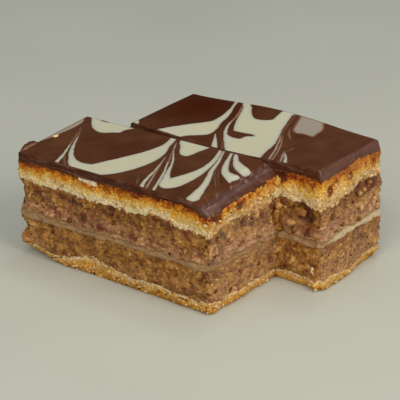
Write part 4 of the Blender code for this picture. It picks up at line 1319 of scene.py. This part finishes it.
# single pieces: x, y, z, radii and how pale they are, from 0 to 1
singlePieces = {
    "walnut_pieces": {
        "slot": "walnut_filling", "finish": "walnut_bits", "places": [
            ((45.2, 0.2, 28.6), (2.3, 1.1, 1.3), 0.55), ((41.3, -0.3, 23.7), (1.6, 1.0, 1.1), 0.85),
            ((37.6, -0.1, 33.0), (0.9, 0.6, 0.7), 0.8), ((34.9, -3.6, 23.4), (0.7, 0.8, 0.6), 0.9),
            ((34.9, -6.2, 12.4), (0.6, 0.8, 0.6), 0.8), ((52.9, 4.4, 13.2), (0.8, 0.9, 0.7), 0.8),
            ((53.0, 26.2, 28.9), (0.9, 1.0, 0.8), 0.95), ((52.8, 20.5, 29.4), (0.9, 1.2, 0.8), 0.4),
            ((53.2, 16.5, 30.2), (0.8, 1.0, 0.7), 0.85), ((53.0, 32.6, 31.2), (0.8, 1.1, 0.8), 0.7),
            ((53.5, 18.7, 38.2), (0.6, 1.0, 0.7), 0.45), ((53.4, 33.6, 38.7), (0.6, 1.1, 0.8), 0.55),
        ],
    },
    "corner_crumb": {
        "slot": "walnut_filling", "finish": "filling", "places": [
            ((34.9, 0.2, 6.4), (1.9, 1.5, 2.6), 0.5), ((35.0, 0.4, 11.8), (1.4, 1.8, 2.4), 0.7),
            ((35.2, 0.1, 20.2), (1.7, 1.5, 2.2), 0.6), ((34.8, 0.3, 24.6), (1.5, 1.9, 2.6), 0.4),
            ((35.3, 0.4, 29.0), (1.8, 1.4, 2.2), 0.5),
        ],
    },
    "corner_pastry": {
        "slot": "top_pastry", "finish": "pastry", "places": [
            ((35.0, 0.2, 34.0), (1.6, 1.5, 2.4), 0.15), ((35.2, 0.1, 37.2), (1.5, 1.4, 2.0), 0.6),
        ],
    },
    "pastry_pieces": {
        "slot": "top_pastry", "finish": "pastry_crumbs", "places": [
            ((-50.9, -20.9, 41.7), (0.9, 1.3, 0.5), 0.75), ((0.6, 38.2, 47.3), (0.6, 0.5, 0.6), 0.1),
            ((51.0, 0.1, 7.0), (1.1, 0.8, 1.9), 1.0), ((49.6, 0.2, 4.2), (0.8, 0.6, 0.7), 0.7),
            ((34.2, -38.0, 35.4), (0.9, 0.8, 0.9), 0.1), ((33.0, -38.2, 33.8), (0.8, 0.7, 0.7), 0.6),
            ((34.8, -36.6, 34.0), (0.7, 0.9, 0.7), 0.3), ((34.8, -27.5, 33.0), (0.6, 1.1, 0.6), 0.8),
            ((34.8, -15.0, 36.0), (0.7, 1.0, 0.7), 0.8), ((34.8, -10.0, 34.4), (0.6, 0.9, 0.6), 0.8),
        ],
    },
}


dents = ((1.4, 0.65), (3.2, 0.4))        # how fine they are and how deep, for a ball of radius 1


def makeSinglePieces(name, kind):
    # each piece is a ball squeezed and dented out of true
    mesh = bpy.data.meshes.new(name)
    builder = bmesh.new()
    tints = []
    for place, radii, paleness in kind["places"]:
        ball = bmesh.ops.create_icosphere(builder, subdivisions=3, radius=1.0)["verts"]
        for vert in ball:
            dent = sum(depth * noise.noise(vert.co * fineness + Vector(place)) for fineness, depth in dents)
            vert.co = Vector([(place[i] + vert.co[i] * (1.0 + dent) * radii[i]) * mm for i in range(3)])
            tints.append(paleness)
    builder.to_mesh(mesh)
    builder.free()
    storeNumbers(mesh, "tint", tints)
    storeNumbers(mesh, "share", tints if kind["finish"] == "pastry" else np.full(len(tints), 0.8))
    pieces = bpy.data.objects.new(name, mesh)
    bpy.context.scene.collection.objects.link(pieces)
    mesh.materials.append(bitFinishes[kind["finish"]])
    keepInside(mesh)
    mesh.shade_smooth()
    dress(pieces, None)


for name, kind in singlePieces.items():
    makeSinglePieces(name, kind)
print("single pieces laid on")

# a sliver of glaze that the knife lifted off the left edge
flakeLook = {
    "start": (-52.7, -38.4, 39.9), "end": (-53.1, -28.0, 40.8),
    "height": 0.85, "thickness": 0.16, "lift": 0.5, "steps": 28, "ring": 12,
    "waves": 5.0, "waveDepth": 0.5, "bluntness": 0.7, "lean": 0.9,
}


def makeFlake():
    steps, ring = flakeLook["steps"], flakeLook["ring"]
    angles = np.arange(ring) / ring * 2 * math.pi
    start, end = np.array(flakeLook["start"]), np.array(flakeLook["end"])
    rows, veils = [], []
    for i in range(steps + 1):
        along = i / steps
        centre = start + (end - start) * along
        wave = noise.noise(Vector((along * flakeLook["waves"], 1.7, 0.0)))
        taper = math.sin(math.pi * min(max(along, 0.02), 0.98)) ** flakeLook["bluntness"]
        tall = flakeLook["height"] * taper * (1.0 + flakeLook["waveDepth"] * wave)
        lean = np.sin(angles) ** 2 * np.sign(np.sin(angles)) * flakeLook["lean"] * tall
        aside = flakeLook["waveDepth"] * wave
        x = centre[0] + aside + flakeLook["thickness"] * taper * np.cos(angles) - lean
        z = centre[2] + 0.9 * tall + flakeLook["lift"] * math.sin(math.pi * along) + tall * np.sin(angles)
        rows.append(np.stack([x, np.full(ring, centre[1]), z], -1))
        # its broken edge is paler than the poured side
        veils.append(0.5 * np.clip(0.6 + 0.6 * wave - 1.6 * np.sin(angles), 0.0, 1.0))
    points = np.concatenate(rows + [rows[0].mean(0)[None], rows[-1].mean(0)[None]])
    faces = gridFaces(0, steps + 1, ring).tolist()
    first, last = steps * ring, (steps + 1) * ring
    faces += [(last, (k + 1) % ring, k) for k in range(ring)]
    faces += [(last + 1, first + k, first + (k + 1) % ring) for k in range(ring)]
    mesh = bpy.data.meshes.new("chocolate_flake")
    mesh.from_pydata((points * mm).tolist(), [], faces)
    builder = bmesh.new()
    builder.from_mesh(mesh)
    bmesh.ops.recalc_face_normals(builder, faces=builder.faces)
    builder.to_mesh(mesh)
    builder.free()
    storeNumbers(mesh, "veil", np.concatenate(veils + [np.zeros(2)]))
    for name, value in (("cream", glazeLook["noCream"]), ("side", 0.0), ("bloom", 0.0), ("rich", 0.0)):
        storeNumbers(mesh, name, np.full(len(points), value))
    flake = bpy.data.objects.new("chocolate_flake", mesh)
    bpy.context.scene.collection.objects.link(flake)
    mesh.materials.append(glazeFinish)
    keepInside(mesh)
    mesh.shade_smooth()
    dress(flake, None)


makeFlake()
print("flake laid on")

# ---- floor, light and camera

# A glazed white plate surface, plain: soft and faintly warm.
floorLook = {
    "reach": 2.5,            # metres to each side
    "fields": {"cloud": {"size": 111.0, "detail": 2.0, "roughness": 0.5, "low": 0.0, "high": 1.0}},
    "coats": [(1.0, [], ("cloud", [(0.3, "#c3c9c2"), (0.7, "#c9cfc8")]))],
    "surface": {"Roughness": 0.6, "Specular IOR Level": 0.3},
}


def makeFloor():
    reach = floorLook["reach"]
    mesh = bpy.data.meshes.new("floor")
    corners = [(-reach, -reach, 0), (reach, -reach, 0), (reach, reach, 0), (-reach, reach, 0)]
    mesh.from_pydata(corners, [], [(0, 1, 2, 3)])
    mesh.materials.append(makeFinish("glazedWhiteCeramic", floorLook))
    floor = bpy.data.objects.new("floor", mesh)
    bpy.context.scene.collection.objects.link(floor)


worldLook = {"tint": "#fbf7ee", "strength": 0.20}

# soft boxes: direction they stand in from the slice, distance, size in metres, and watts
lights = {
    "overhead": {"from": (0.10, 0.15, 1.0), "distance": 1.3, "size": 1.4, "watts": 3.65, "tint": "#fffaf0"},
    "glint": {"from": (-0.06, 0.36, 0.92), "distance": 1.2, "size": 0.15, "watts": 0.65, "tint": "#f4f8ff"},
    "key": {"from": (0.92, -0.12, 0.60), "distance": 1.2, "size": 0.7, "watts": 7.5, "tint": "#fff6e6"},
    "fill": {"from": (0.22, -0.85, 0.75), "distance": 1.4, "size": 0.7, "watts": 7.0, "tint": "#fff8ee"},
}


def makeLights():
    world = bpy.data.worlds.new("studio")
    world.use_nodes = True
    background = world.node_tree.nodes["Background"]
    background.inputs["Color"].default_value = linear(worldLook["tint"])
    background.inputs["Strength"].default_value = worldLook["strength"]
    bpy.context.scene.world = world
    for name, light in lights.items():
        data = bpy.data.lights.new(name, "AREA")
        data.shape = "SQUARE"
        data.size = light["size"]
        data.energy = light["watts"]
        data.color = linear(light["tint"])[:3]
        lamp = bpy.data.objects.new(name, data)
        direction = Vector(light["from"]).normalized()
        lamp.location = direction * light["distance"]
        lamp.rotation_euler = direction.to_track_quat("Z", "Y").to_euler()
        bpy.context.scene.collection.objects.link(lamp)
    bpy.context.scene.view_settings.view_transform = "Standard"


cameraLook = {
    "azimuth": 38.078, "elevation": 22.790, "roll": -0.533,     # degrees
    "aim": (-31.5, 41.0, 0.0), "distance": 608.06,              # millimetres
    "lens": 135.0, "sensor": 36.0,
}


def makeCamera():
    azimuth, elevation = math.radians(cameraLook["azimuth"]), math.radians(cameraLook["elevation"])
    back = Vector((math.sin(azimuth) * math.cos(elevation), -math.cos(azimuth) * math.cos(elevation),
                   math.sin(elevation)))
    right = Vector((math.cos(azimuth), math.sin(azimuth), 0.0))
    right.rotate(Matrix.Rotation(math.radians(cameraLook["roll"]), 3, back))
    up = back.cross(right)
    data = bpy.data.cameras.new("camera")
    data.lens = cameraLook["lens"]
    data.sensor_width = cameraLook["sensor"]
    data.clip_start = 0.01
    data.clip_end = 20.0
    camera = bpy.data.objects.new("camera", data)
    rotation = Matrix((right, up, back)).transposed().to_4x4()
    place = Vector(cameraLook["aim"]) * mm + back * cameraLook["distance"] * mm
    camera.matrix_world = Matrix.Translation(place) @ rotation
    bpy.context.scene.collection.objects.link(camera)
    bpy.context.scene.camera = camera


makeFloor()
makeLights()
makeCamera()
print("floor, lights and camera set")
